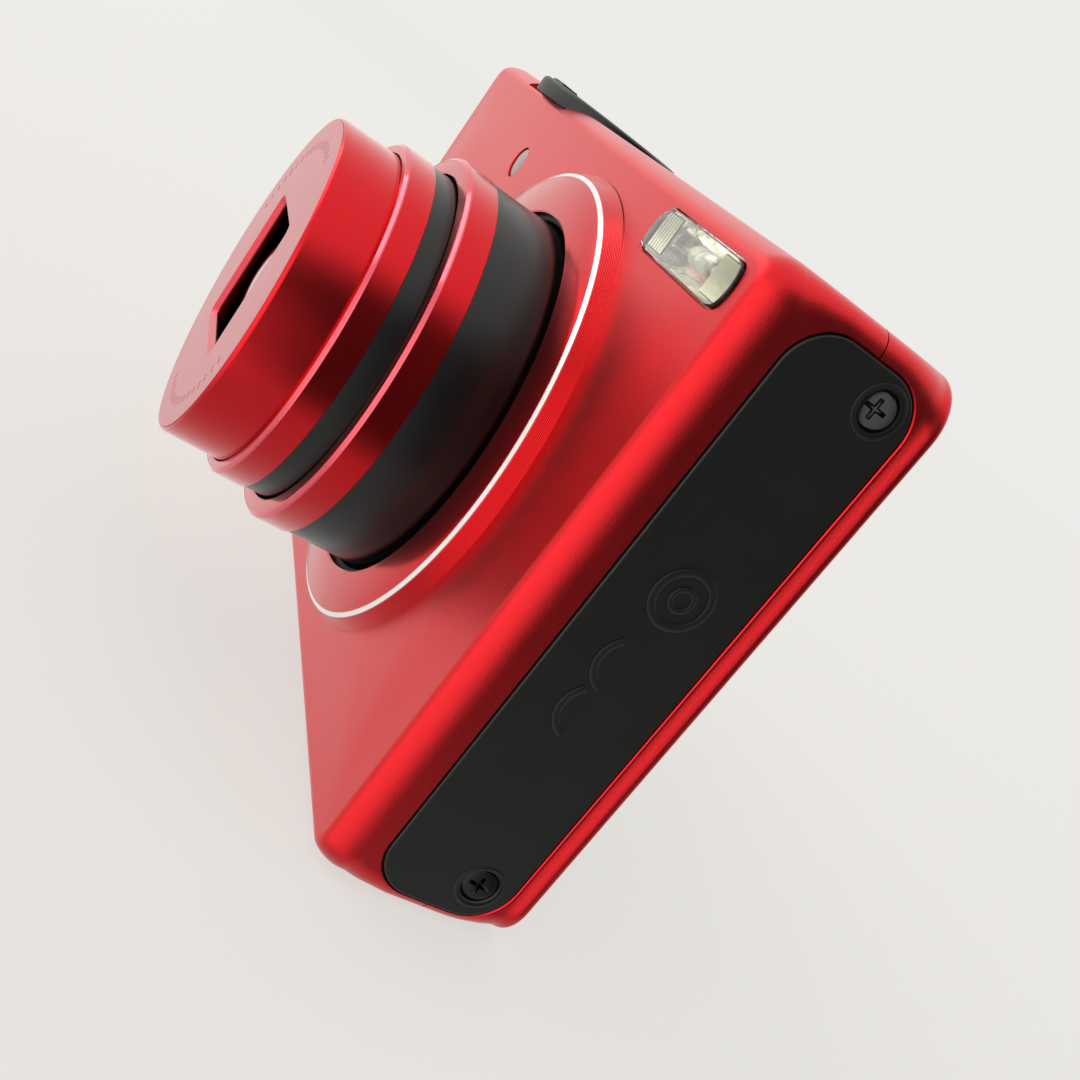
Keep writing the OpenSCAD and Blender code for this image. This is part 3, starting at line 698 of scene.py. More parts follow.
@dataclass
class Casing:
    """The two blasted shells, with every opening cut through their walls."""

    dresser: Dresser
    wall: float = 1.2
    corner_r: float = 3.0
    side_r: float = 1.8
    neck_r: float = 2.6
    crest_r: float = 1.1
    flank_r: float = 4.2
    crest_turn: float = 52.0
    rim_r: float = 4.2
    crown: float = 0.3
    soft_side: float = 0.6
    lip: float = 0.14
    seam: float = 0.05

    def __post_init__(self) -> None:
        """Reads the shells' boxes."""
        self.front, self.rear = Box.of("front_shell"), Box.of("rear_shell")
        self.half = self.rear.high.x
        self.side = self.half - self.soft_side
        self.height = self.rear.high.z
        self.face_y = self.front.low.y + self.crown
        self.back_y = self.rear.high.y
        self.seam_y = (self.front.high.y + self.rear.low.y) / 2

    def ring(self, inset: float, half: float, r: float, y: float) -> Ring:
        """One outline of the casing at a depth."""
        flat = outline((-half + inset, inset), (half - inset, self.height - inset), r, 12, (36, 20))
        return [(u, y, v) for u, v in flat]

    def soft_edge(self, inset: float) -> list[Pair]:
        """The edge between the front and the sides: a tight crest, then a slow flank.

        Args:
            inset: How far the form is drawn in.

        Returns:
            Distance from the side and depth behind the face, from the face outwards.
        """
        steps, turn = 16, math.radians(self.crest_turn)
        bends = [(turn / steps, self.crest_r)] * steps + [((math.pi / 2 - turn) / steps, self.flank_r)] * steps
        path, angle = [(0.0, 0.0)], 0.0
        for bend, r in bends:
            step = 2 * max(r - inset, 0.02) * math.sin(bend / 2)
            mid = angle + bend / 2
            path.append((path[-1][0] + step * math.cos(mid), path[-1][1] + step * math.sin(mid)))
            angle += bend
        width = path[-1][0]
        return [(inset + width - u, v) for u, v in path]

    def form(self, inset: float, bm: bmesh.types.BMesh) -> None:
        """Draws the casing's solid form, drawn in by inset."""
        rings: list[Ring] = []
        edge = self.soft_edge(inset)
        start = edge[0][0]
        for k in range(9):  # the middle of the front face swells by the crown
            s = k / 8
            rise = self.crown * (0.5 + 0.5 * math.cos(math.pi * s))
            draw = start + 9 * (1 - s)
            rings.append(self.ring(draw, self.side, max(self.corner_r - start, 0.4) + 3 * (1 - s),
                                   self.face_y + inset - rise))
        for draw, deep in edge[1:]:
            rings.append(self.ring(draw, self.side, self.corner_r - draw, self.face_y + inset + deep))
        back = self.back_y
        for reach, out, r in ((13.6, 0.0, 2.4), (11.0, 0.0, self.side_r), (5.7, 0.0, self.side_r),
                              (4.7, 0.0, 1.9), (3.8, 0.0, 2.1), (3.0, 0.0, 2.4), (2.5, 0.02, self.neck_r),
                              (2.0, 0.08, 2.9), (1.5, 0.25, 3.4), (1.1, 0.6, 3.9), (0.8, 0.9, self.rim_r),
                              (0.55, 1.0, self.rim_r)):
            rings.append(self.ring(inset, self.side + self.soft_side * out, r - inset,
                                   min(back - reach, back - inset - 0.5)))
        for k in range(1, 6):  # the small edge round the rear face
            a = k / 5 * math.pi / 2
            e = 0.45
            draw = inset + e * (1 - math.cos(a))
            rings.append(self.ring(draw, self.half, self.rim_r - draw,
                                   back - inset - e * (1 - math.sin(a))))
        skin(bm, rings)

    def flared(self, axis: Axis, flat: Callable[[float], list[Pair]], surface: float, deep: float,
               lip: float | None = None) -> Callable[[bmesh.types.BMesh], None]:
        """A cutter that leaves a small chamfer where it meets the surface.

        Args:
            axis: The direction of the cut.
            flat: The opening's outline.
            surface: Where the surface lies along the axis.
            deep: Where the cut ends.
            lip: The chamfer's width.

        Returns:
            A drawing function for carve().
        """
        lip = self.lip if lip is None else lip
        way = 1 if deep > surface else -1

        def draw(bm: bmesh.types.BMesh) -> None:
            """Draws the cutter."""
            levels = [(surface - way * 2, -lip), (surface - way * 0.001, -lip), (surface + way * lip, 0.0),
                      (deep, 0.0)]
            skin(bm, [[axis.at(u, v, d) for u, v in flat(e)] for d, e in levels])

        return draw

    def openings(self, obj: bpy.types.Object, front: bool) -> None:
        """Cuts the openings of one shell.

        Args:
            obj: The shell.
            front: Whether it is the front shell.
        """
        cover, lens = Box.of("side_cover"), Box.of("lens_ring")
        flat = box_flat((cover.low.y - 0.12, cover.low.z - 0.12), (cover.high.y + 0.12, cover.high.z + 0.12),
                        3.9, 10)
        carve(obj, self.flared(Axis.X, flat, self.side, cover.low.x - 0.1, 0.1))
        lever, power = Box.of("shutter_button").mid, Box.of("power_button")
        top = self.height
        hole = disc_flat((power.mid.x, power.mid.y), power.size.x / 2 - 0.6)
        carve(obj, self.flared(Axis.Z, hole, top, top - 4))
        for x0, y0, count in ((25.4, 2.3, 5), (10.0, 2.0, 2)):
            for i in range(count):
                carve(obj, self.flared(Axis.Z, disc_flat((x0 + i * 1.55, y0), 0.36, 20), top, top - 4, 0.06))
        well = Box.of("zoom_lever")
        carve(obj, lambda bm: self.well(bm, lever, well))
        door = Box.of("battery_door")
        carve(obj, lambda bm: plate(bm, Axis.Z, box_flat((door.low.x - 0.2, door.low.y - 0.15),
                                                         (door.high.x + 0.2, door.high.y + 0.35), 0.8),
                                    (-1, 1.6)))
        nut = Box.of("tripod_nut")
        carve(obj, self.flared(Axis.Z, disc_flat((0, 0), nut.size.x / 2 + 0.12), 0, 3, 0.12))
        screws = Box.of("base_screws")
        for x in (screws.low.x + 1.6, 12.0, screws.high.x - 1.6):
            carve(obj, self.flared(Axis.Z, disc_flat((x, screws.mid.y), 1.85, 40), 0, 3, 0.12))
        for node in ("terminal_door", "strap_lug"):
            b = Box.of(node)
            flat = box_flat((b.low.y - 0.15, b.low.z - 0.15), (b.high.y + 0.15, b.high.z + 0.15), 1.0, 6)
            carve(obj, self.flared(Axis.X, flat, -self.side, -self.side + 2.4, 0.08))
        if front:
            hole = disc_flat((lens.mid.x, lens.mid.z), lens.size.x / 2 - 1.6, 128)
            carve(obj, self.flared(Axis.Y, hole, self.front.low.y, self.front.low.y + 4, 0.05))
            carve(obj, self.flared(Axis.Y, path_flat(Flash.outline_points(-0.09)), self.face_y - 0.1, 0, 0.12))
            lamp = Box.of("focus_lamp")
            carve(obj, self.flared(Axis.Y, disc_flat((lamp.mid.x, lamp.mid.z), lamp.size.x / 2 + 0.1, 40),
                                   self.front.low.y + 0.02, 0, 0.1))
            return
        back = self.back_y
        for node in ("movie_button", "playback_button", "display_button", "menu_button"):
            b = Box.of(node)
            carve(obj, self.flared(Axis.Y, disc_flat((b.mid.x, b.mid.z), b.size.x / 2 - 0.58, 48), back,
                                   back - 3))
        pad = Box.of("direction_ring")
        carve(obj, self.flared(Axis.Y, disc_flat((pad.mid.x, pad.mid.z), pad.size.x / 2 - 0.35, 96), back,
                               back - 3))
        switch = Box.of("mode_switch")
        z = switch.mid.z
        track = box_flat((switch.low.x + 1.4, z - 1.3), (switch.low.x + 9.8, z + 1.3), 1.25)
        carve(obj, self.flared(Axis.Y, track, back, back - 3, 0.1))
        screen = Box.of("lcd_window")
        flat = box_flat((screen.low.x - 0.1, screen.low.z - 0.1), (screen.high.x + 0.1, screen.high.z + 0.1),
                        1.5)
        carve(obj, self.flared(Axis.Y, flat, back, back - 3, 0.1))

    @staticmethod
    def opened(angle: float) -> float:
        """How far the lever's well opens to the front.

        Args:
            angle: The angle about the lever's axis, in radians.

        Returns:
            From 0, plain, to 1, fully open.
        """
        bearing = (math.degrees(angle) - TAB_BEARING + 180) % 360 - 180
        return 1 / (1 + math.exp((abs(bearing) - WELL_SPREAD) / 2.2))

    def well(self, bm: bmesh.types.BMesh, mid: Vector, lever: Box) -> None:
        """Draws the scooped well that the zoom lever turns in."""
        floor = lever.high.z - 2.45
        r = 9.3
        steps = 96
        rings: list[Ring] = []
        for z, grow in ((floor, 0.0), (floor + 0.9, 0.0), (self.height, 0.25), (self.height + 3, 0.6)):
            ring = []
            for k in range(steps):
                a = k * math.tau / steps
                far = r + grow + 4.5 * self.opened(a)
                ring.append((mid.x + far * math.cos(a), mid.y + far * math.sin(a), z))
            rings.append(ring)
        skin(bm, rings)

    def shell(self, name: str, front: bool) -> bpy.types.Object:
        """Makes one hollow shell.

        Args:
            name: The piece's name.
            front: Whether it is the front shell.

        Returns:
            The piece.
        """
        bm = bmesh.new()
        self.form(0.0, bm)
        obj = to_object(name, bm)
        carve(obj, lambda tool: self.form(self.wall, tool))
        y0, y1 = (-20.0, self.seam_y - self.seam) if front else (self.seam_y + self.seam, 30.0)
        carve(obj, lambda tool: plate(tool, Axis.Y, box_flat((-80, -20), (80, 80), 1), (y0, y1)), Cut.KEEP)
        self.openings(obj, front)
        weigh(obj, 28)
        self.dresser.dress(obj, "red_anodised")
        return obj

    def floors(self) -> None:
        """Makes the plain floors behind the side cover and under the zoom lever."""
        cover, lever = Box.of("side_cover"), Box.of("zoom_lever")
        floor = shape(
            "cover_pocket_floor",
            lambda bm: plate(bm, Axis.X, box_flat((cover.low.y - 0.4, cover.low.z - 0.2),
                                                  (cover.high.y + 0.3, cover.high.z + 0.2), 3.9),
                             (cover.low.x - 1.2, cover.low.x - 0.12)))
        self.dresser.place(floor, "black_plastic", CASING, "red_anodised")
        bm = bmesh.new()
        mid = Box.of("shutter_button").mid
        r, z = 10.2, lever.high.z - 2.5
        hole = 6.5
        flat = []
        for k in range(96):
            a = k * math.tau / 96
            far = r - 0.3 + 4.2 * self.opened(a)
            y = max(mid.y + far * math.sin(a), self.face_y + 0.9)
            flat.append((mid.x + far * math.cos(a), y))
        ring_in = [(mid.x + hole * math.cos(k * math.tau / 96), mid.y + hole * math.sin(k * math.tau / 96))
                   for k in range(96)]
        rows = [[bm.verts.new((u, v, zz)) for u, v in loop]
                for loop, zz in ((flat, z), (flat, z - 1.0), (ring_in, z - 1.0), (ring_in, z))]
        for a_row, b_row in zip(rows, rows[1:] + rows[:1]):
            for i in range(96):
                j = (i + 1) % 96
                bm.faces.new((a_row[i], a_row[j], b_row[j], b_row[i]))
        floor = to_object("lever_well_floor", bm)
        self.dresser.place(floor, "black_plastic", CASING, "red_anodised")

    def build(self) -> None:
        """Makes both shells and their floors."""
        seat(self.shell("front_shell_skin", True), CASING, "red_anodised", "front_shell")
        seat(self.shell("rear_shell_skin", False), CASING, "red_anodised", "rear_shell")
        self.floors()
        for i, x in enumerate(POST_X):
            post = shape(
                f"hinge_post_{i + 1}",
                lambda bm: plate(bm, Axis.X, box_flat((4.95, 0.12), (7.3, 1.38), 0.5), (x, x + 2),
                                 (0.1, 0.1)))
            self.dresser.place(post, "red_anodised", CASING, "red_anodised")


# ---- side cover ------------------------------------------------------------------


@dataclass
class SideCover:
    """The black moulded cover on the right side, with its two screws and raised marks."""

    dresser: Dresser
    corner_r: float = 3.8
    edge: float = 0.22
    sink_r: float = 1.62
    rim_r: float = 1.98
    proud: float = 0.07

    def __post_init__(self) -> None:
        """Reads the cover's and the screws' boxes."""
        self.box, self.screws = Box.of("side_cover"), Box.of("cover_screws")
        self.face_x = self.box.low.x + 1.1
        self.screw_z = (self.screws.low.z + 1.4, self.screws.high.z - 1.4)
        self.screw_y = self.screws.mid.y

    def raised(self, bm: bmesh.types.BMesh, y: float, z: float, r: float, start: float, sweep: float,
               width: float = 0.66) -> None:
        """Draws a raised bar bent round as part of a ring, with soft edges."""
        steps = max(int(abs(sweep) / 5), 4)
        full = abs(sweep) >= 360
        top = self.face_x + self.proud * 1.6
        low = self.face_x - 0.1
        profile = ((-width / 2, low), (-width / 2, top - 0.05), (-width / 2 + 0.09, top),
                   (width / 2 - 0.09, top), (width / 2, top - 0.05), (width / 2, low))
        rows = []
        for k in range(steps if full else steps + 1):
            a = math.radians(start + sweep * k / steps)
            rows.append([bm.verts.new((x, y + (r + w) * math.cos(a), z + (r + w) * math.sin(a)))
                         for w, x in profile])
        count = len(profile)
        for a_row, b_row in (list(zip(rows, rows[1:])) + ([(rows[-1], rows[0])] if full else [])):
            for i in range(count):
                j = (i + 1) % count
                bm.faces.new((a_row[i], a_row[j], b_row[j], b_row[i]))
        if not full:
            bm.faces.new(rows[0])
            bm.faces.new(rows[-1])

    def build(self) -> None:
        """Makes the cover, its marks and its screws."""
        low, high = (self.box.low.y, self.box.low.z), (self.box.high.y, self.box.high.z)
        cover = shape(
            "side_cover_plate",
            lambda bm: plate(bm, Axis.X, box_flat(low, high, self.corner_r, 16),
                             (self.box.low.x, self.face_x), (0.05, self.edge), 5))
        for z in self.screw_z:
            carve(cover, lambda tool, z=z: lathe(tool, [
                (0, self.box.low.x - 1), (0.95, self.box.low.x - 1), (0.95, self.face_x - 0.62),
                (self.sink_r - 0.06, self.face_x - 0.62), (self.sink_r - 0.06, self.face_x - 0.12),
                (self.sink_r + 0.04, self.face_x), (self.sink_r + 1, self.face_x + 1), (0, self.face_x + 1)],
                Axis.X, (self.screw_y, z), 64, False))
        weigh(cover, 30)
        self.dresser.place(cover, "black_plastic", CASING, "black_plastic", "side_cover")
        bm = bmesh.new()
        y = self.box.mid.y + 0.2
        self.raised(bm, y, 33.0, 2.3, 0, 360)
        self.raised(bm, y, 33.0, 0.9, 0, 360, 0.42)
        for z in (26.4, 21.8):
            self.raised(bm, y, z, 2.4, 130, 120, 0.6)
        marks = to_object("side_cover_marks", bm)
        self.dresser.place(marks, "black_plastic", CASING, "black_plastic")
        rim = shape(
            "rim_master",
            lambda bm: lathe(bm, eased([(self.rim_r - 0.2, self.face_x - 0.08),
                                        (self.rim_r + 0.12, self.face_x - 0.08),
                                        (self.rim_r + 0.12, self.face_x + 0.03),
                                        (self.rim_r, self.face_x + self.proud),
                                        (self.rim_r - 0.2, self.face_x + self.proud)], 0.03, 2), Axis.X,
                             (0, 0), 64))
        span = self.screw_z[1] - self.screw_z[0]
        rims = Copies(2, (0, self.screw_y, self.screw_z[0]), (0, 0, span)).make(
            "screw_rims", rim, self.dresser.get("black_plastic"))
        seat(rims, CASING, "black_plastic")
        head = phillips(1.42, 0.5, 0.8, 4.0)
        screws = Copies(2, (self.face_x - 0.6, self.screw_y, self.screw_z[0]), (0, 0, span),
                        (12, 90, 0), (25, 0, 0)).make("cover_screw_pair", head, self.dresser.get("black_screw"))
        seat(screws, CASING, "black_screw", "cover_screws")


def phillips(head_r: float, head_t: float, shank_r: float, length: float) -> bpy.types.Object:
    """A pan-head screw with a cross recess, its seat at the origin and its head up.

    Args:
        head_r: Radius of the head.
        head_t: Height of the head.
        shank_r: Radius of the shank.
        length: Length under the head.

    Returns:
        The master screw.
    """
    obj = shape(
        "screw_master",
        lambda bm: lathe(bm, [(0, -length), (shank_r * 0.7, -length), (shank_r, -length + 0.5), (shank_r, 0),
                              (head_r - 0.04, 0), (head_r, 0.05), (head_r, head_t * 0.62),
                              (head_r - 0.08, head_t * 0.82), (head_r * 0.72, head_t * 0.97), (0, head_t)],
                         Axis.Z, (0, 0), 48, False))
    w, reach = head_r * 0.13, head_r * 0.6
    cross = [(w, w), (reach, w), (reach, -w), (w, -w), (w, -reach), (-w, -reach), (-w, -w), (-reach, -w),
             (-reach, w), (-w, w), (-w, reach), (w, reach)][::-1]
    cross = eased(cross, w * 0.5, 2)

    def recess(tool: bmesh.types.BMesh) -> None:
        """Draws the tapering cross."""
        skin(tool, [[(u * s, v * s, z) for u, v in cross]
                    for s, z in ((0.35, head_t * 0.1), (0.8, head_t * 0.6), (1.0, head_t), (1.1, head_t + 1))])

    carve(obj, recess)
    shade(obj, 35)
    return obj


# ---- lens ------------------------------------------------------------------------


@dataclass
class Lens:
    """The trim ring, the three sliding stages, the front plate and the glass."""

    dresser: Dresser
    steps: int = 192
    groove: float = 0.035
    grooves: int = 13

    def __post_init__(self) -> None:
        """Reads the lens axis."""
        self.ring_box = Box.of("lens_ring")
        self.axis = (self.ring_box.mid.x, self.ring_box.mid.z)

    def turned(self, name: str, profile: Sequence[Pair], finish: str, body: str, slot: str, *nodes: str,
               sharp: float = 30.0, loop: bool = True) -> bpy.types.Object:
        """Turns one ring round the lens axis and seats it."""
        bm = bmesh.new()
        lathe(bm, profile, Axis.Y, self.axis, self.steps, loop)
        obj = to_object(name, bm, sharp)
        return self.dresser.place(obj, finish, body, slot, *nodes)

    def trim_ring(self) -> None:
        """Makes the red ring round the lens, its bright edge and its grooved side."""
        box = self.ring_box
        face, base_r, hole = box.low.y, box.size.x / 2, 18.5
        foot = -7.17
        r_in, r_out = base_r - 1.24, base_r - 0.86
        y_in, y_out = face + 0.36, face + 0.56
        profile: list[Pair] = [(hole, foot + 1.3), (20.2, foot + 1.3), (20.2, foot), (base_r - 0.06, foot)]
        top, low = (r_out, y_out + 0.02), (base_r, foot + 0.1)
        profile.append(low)
        for k in range(self.grooves):
            for share, depth in ((0.25, 0.0), (0.6, self.groove), (0.85, 0.0)):
                s = (k + share) / self.grooves
                r = low[0] + (top[0] - low[0]) * s
                y = low[1] + (top[1] - low[1]) * s
                profile.append((r - depth, y + depth * 0.4))
        profile += [top, (r_in, y_in + 0.02), (hole + 0.55, face + 0.08), (hole + 0.22, face + 0.02),
                    (hole + 0.06, face + 0.1), (hole, face + 0.3)]
        self.turned("lens_trim_ring", profile, "red_turned", CASING, "red_turned", "lens_ring", sharp=24)
        edge = [(r_in - 0.02, y_in + 0.012), (r_out + 0.005, y_out), (r_out + 0.005, y_out + 0.09),
                (r_in - 0.02, y_in + 0.1)]
        self.turned("lens_ring_bright_edge", edge, "bright_cut", CASING, "steel", sharp=20)

    def stage(self, number: int, body: str) -> None:
        """Makes one black tube with its red ring and polished lip.

        Args:
            number: 1 or 2.
            body: The body that it rides on.
        """
        ring, tube = Box.of(f"stage_{number}_ring"), Box.of(f"stage_{number}_tube")
        next_r = Box.of("stage_3_sleeve" if number == 2 else "stage_2_ring").size.x / 2
        r, front, back = ring.size.x / 2, ring.low.y, ring.high.y
        lip = next_r + 0.09
        profile = [(r - 0.9, back), (r - 0.03, back), (r, back - 0.04), (r, front + 0.36),
                   (r - 0.05, front + 0.24),
                   (r - 0.3, front + 0.03), (r - 0.4, front), (lip + 0.16, front), (lip + 0.04, front + 0.05),
                   (lip, front + 0.16), (lip, front + 0.8), (r - 0.9, front + 0.8)]
        self.turned(f"stage_{number}_red_ring", profile, "red_turned", body, "red_turned",
                    f"stage_{number}_ring", sharp=18)
        # A thin shell over the ring's front bevel: the polish is real, and its paler red is a painted
        # highlight.
        lift = 0.012
        self.turned(f"stage_{number}_polished_lip",
                    [(r + lift, front + 0.36), (r - 0.05 + lift, front + 0.24),
                     (r - 0.3 + lift, front + 0.03 - lift),
                     (r - 0.38, front - lift), (r - 0.36, front + 0.1), (r - 0.1, front + 0.34)],
                    "lip_painted_highlight", body, "red_turned", sharp=18)
        r_t = tube.size.x / 2
        profile = eased([(r_t - 0.7, tube.low.y), (r_t, tube.low.y), (r_t, tube.high.y),
                         (r_t - 0.7, tube.high.y)],
                        0.05, 2)
        self.turned(f"stage_{number}_black_tube", profile, "black_tube", body, "black_plastic",
                    f"stage_{number}_tube")

    def seal(self) -> None:
        """Makes the soft seal between the trim ring and the first stage."""
        box = Box.of("light_seal")
        r, r_in = box.size.x / 2, Box.of("stage_1_ring").size.x / 2 + 0.1
        self.turned("light_seal_lip", eased([(r_in, box.low.y + 0.15), (r, box.low.y), (r, box.high.y),
                                             (r_in, box.high.y)], 0.06, 2),
                    "rubber", CASING, "rubber", "light_seal")

    def front(self) -> None:
        """Makes the sleeve, the front plate with its opening and marks, and what is inside."""
        sleeve, plate_box = Box.of("stage_3_sleeve"), Box.of("front_plate")
        r, y0 = sleeve.size.x / 2, plate_box.low.y
        profile = [(r - 0.7, sleeve.high.y), (r - 0.05, sleeve.high.y), (r, sleeve.high.y - 0.05),
                   (r, y0 + 0.42), (r - 0.03, y0 + 0.3), (r - 0.1, y0 + 0.16), (r - 0.2, y0 + 0.07),
                   (r - 0.28, y0 + 0.1), (r - 0.34, y0 + 0.62), (r - 0.7, y0 + 0.62)]
        self.turned("stage_3_red_sleeve", profile, "red_turned", "stage_3", "red_turned", "stage_3_sleeve",
                    sharp=28)
        ax, az = self.axis
        obj = shape(
            "front_plate_disc",
            lambda bm: plate(bm, Axis.Y, disc_flat(self.axis, r - 0.3, self.steps), (y0 + 0.03, y0 + 0.62),
                             (0.05, 0)))
        hole = box_flat((ax - 5.7, az - 5.95), (ax + 5.7, az + 5.95), 0.55, 6)
        carve(obj, lambda tool: skin(tool, [[Axis.Y.at(u, v, d) for u, v in hole(e)] for d, e in (
            (y0 - 1, -1.5), (y0 + 0.02, -0.47), (y0 + 0.5, 0.0), (y0 + 2, 0.0))]))
        weigh(obj, 25)
        self.dresser.place(obj, "red_plate", "stage_3", "red_anodised", "front_plate")
        self.marks(y0)
        frame_box, glass = Box.of("lens_frame"), Box.of("front_glass")
        r_f = frame_box.size.x / 2
        steps_in = [(9.0, frame_box.low.y + 0.9), (8.6, frame_box.low.y + 0.9), (8.6, frame_box.low.y + 0.5),
                    (9.6, frame_box.low.y + 0.12), (10.4, frame_box.low.y), (r_f, frame_box.low.y),
                    (r_f, frame_box.high.y), (r_f - 1, frame_box.high.y), (r_f - 1, -24.0), (9.0, -24.0)]
        self.turned("lens_barrel_frame", steps_in, "black_tube", "stage_3", "black_plastic", "lens_frame")
        r_g, apex, rim = glass.size.x / 2, glass.low.y - 0.78, glass.low.y + 2.4
        ball = (r_g ** 2 + (rim - apex) ** 2) / (2 * (rim - apex))
        dome = [(r_g * k / 20, apex + ball - math.sqrt(ball ** 2 - (r_g * k / 20) ** 2)) for k in range(21)]
        self.turned("front_element", dome + [(r_g, glass.high.y), (0, glass.high.y)], "lens_glass", "stage_3",
                    "lens_glass", "front_glass", loop=False)
        baffle = shape(
            "baffle_master",
            lambda bm: lathe(bm, eased([(7.6, 0.0), (8.4, -0.25), (8.4, 0.5), (7.6, 0.5)], 0.05, 2), Axis.Y,
                             (0, 0), 96))
        rings = Copies(3, (ax, glass.high.y + 0.3, az), (0, 1.1, 0)).make(
            "inner_baffles", baffle, self.dresser.get("black_tube"))
        seat(rings, "stage_3", "black_plastic")

    def marks(self, y0: float) -> None:
        """Makes the plain engraved ticks round the front plate."""
        ax, az = self.axis
        for name, r, tall, start, step, count in (("plate_ticks_a", 12.4, 0.8, 20, 5.5, 16),
                                                  ("plate_ticks_b", 12.4, 0.8, 196, 5.5, 17)):
            tick = shape(
                "tick_master",
                lambda bm: plate(bm, Axis.Y, box_flat((r - tall / 2, -0.08), (r + tall / 2, 0.08), 0.05, 2),
                                 (-0.008, 0.05)))
            ticks = Copies(count, (ax, y0 + 0.03, az), (0, 0, 0), (0, start, 0), (0, step, 0), 0.0).make(
                name, tick, self.dresser.get("mark_fill"))
            seat(ticks, "stage_3", "red_turned")

    def blades(self) -> None:
        """Makes the two leaves of the lens cover."""
        for name in ("upper", "lower"):
            box = Box.of(f"blade_{name}")
            leaf = shape(
                f"lens_leaf_{name}",
                lambda bm: plate(bm, Axis.Y, box_flat((box.low.x, box.low.z), (box.high.x, box.high.z), 0.5),
                                 (box.low.y - 0.2, box.low.y - 0.06), (0.03, 0.03)))
            self.dresser.place(leaf, "black_tube", f"{name}_blade", "black_plastic", f"blade_{name}")

    def build(self) -> None:
        """Makes the whole lens."""
        self.trim_ring()
        self.seal()
        self.stage(1, "stage_1")
        self.stage(2, "stage_2")
        self.front()
        self.blades()


# ---- flash and lamp ----------------------------------------------------------------


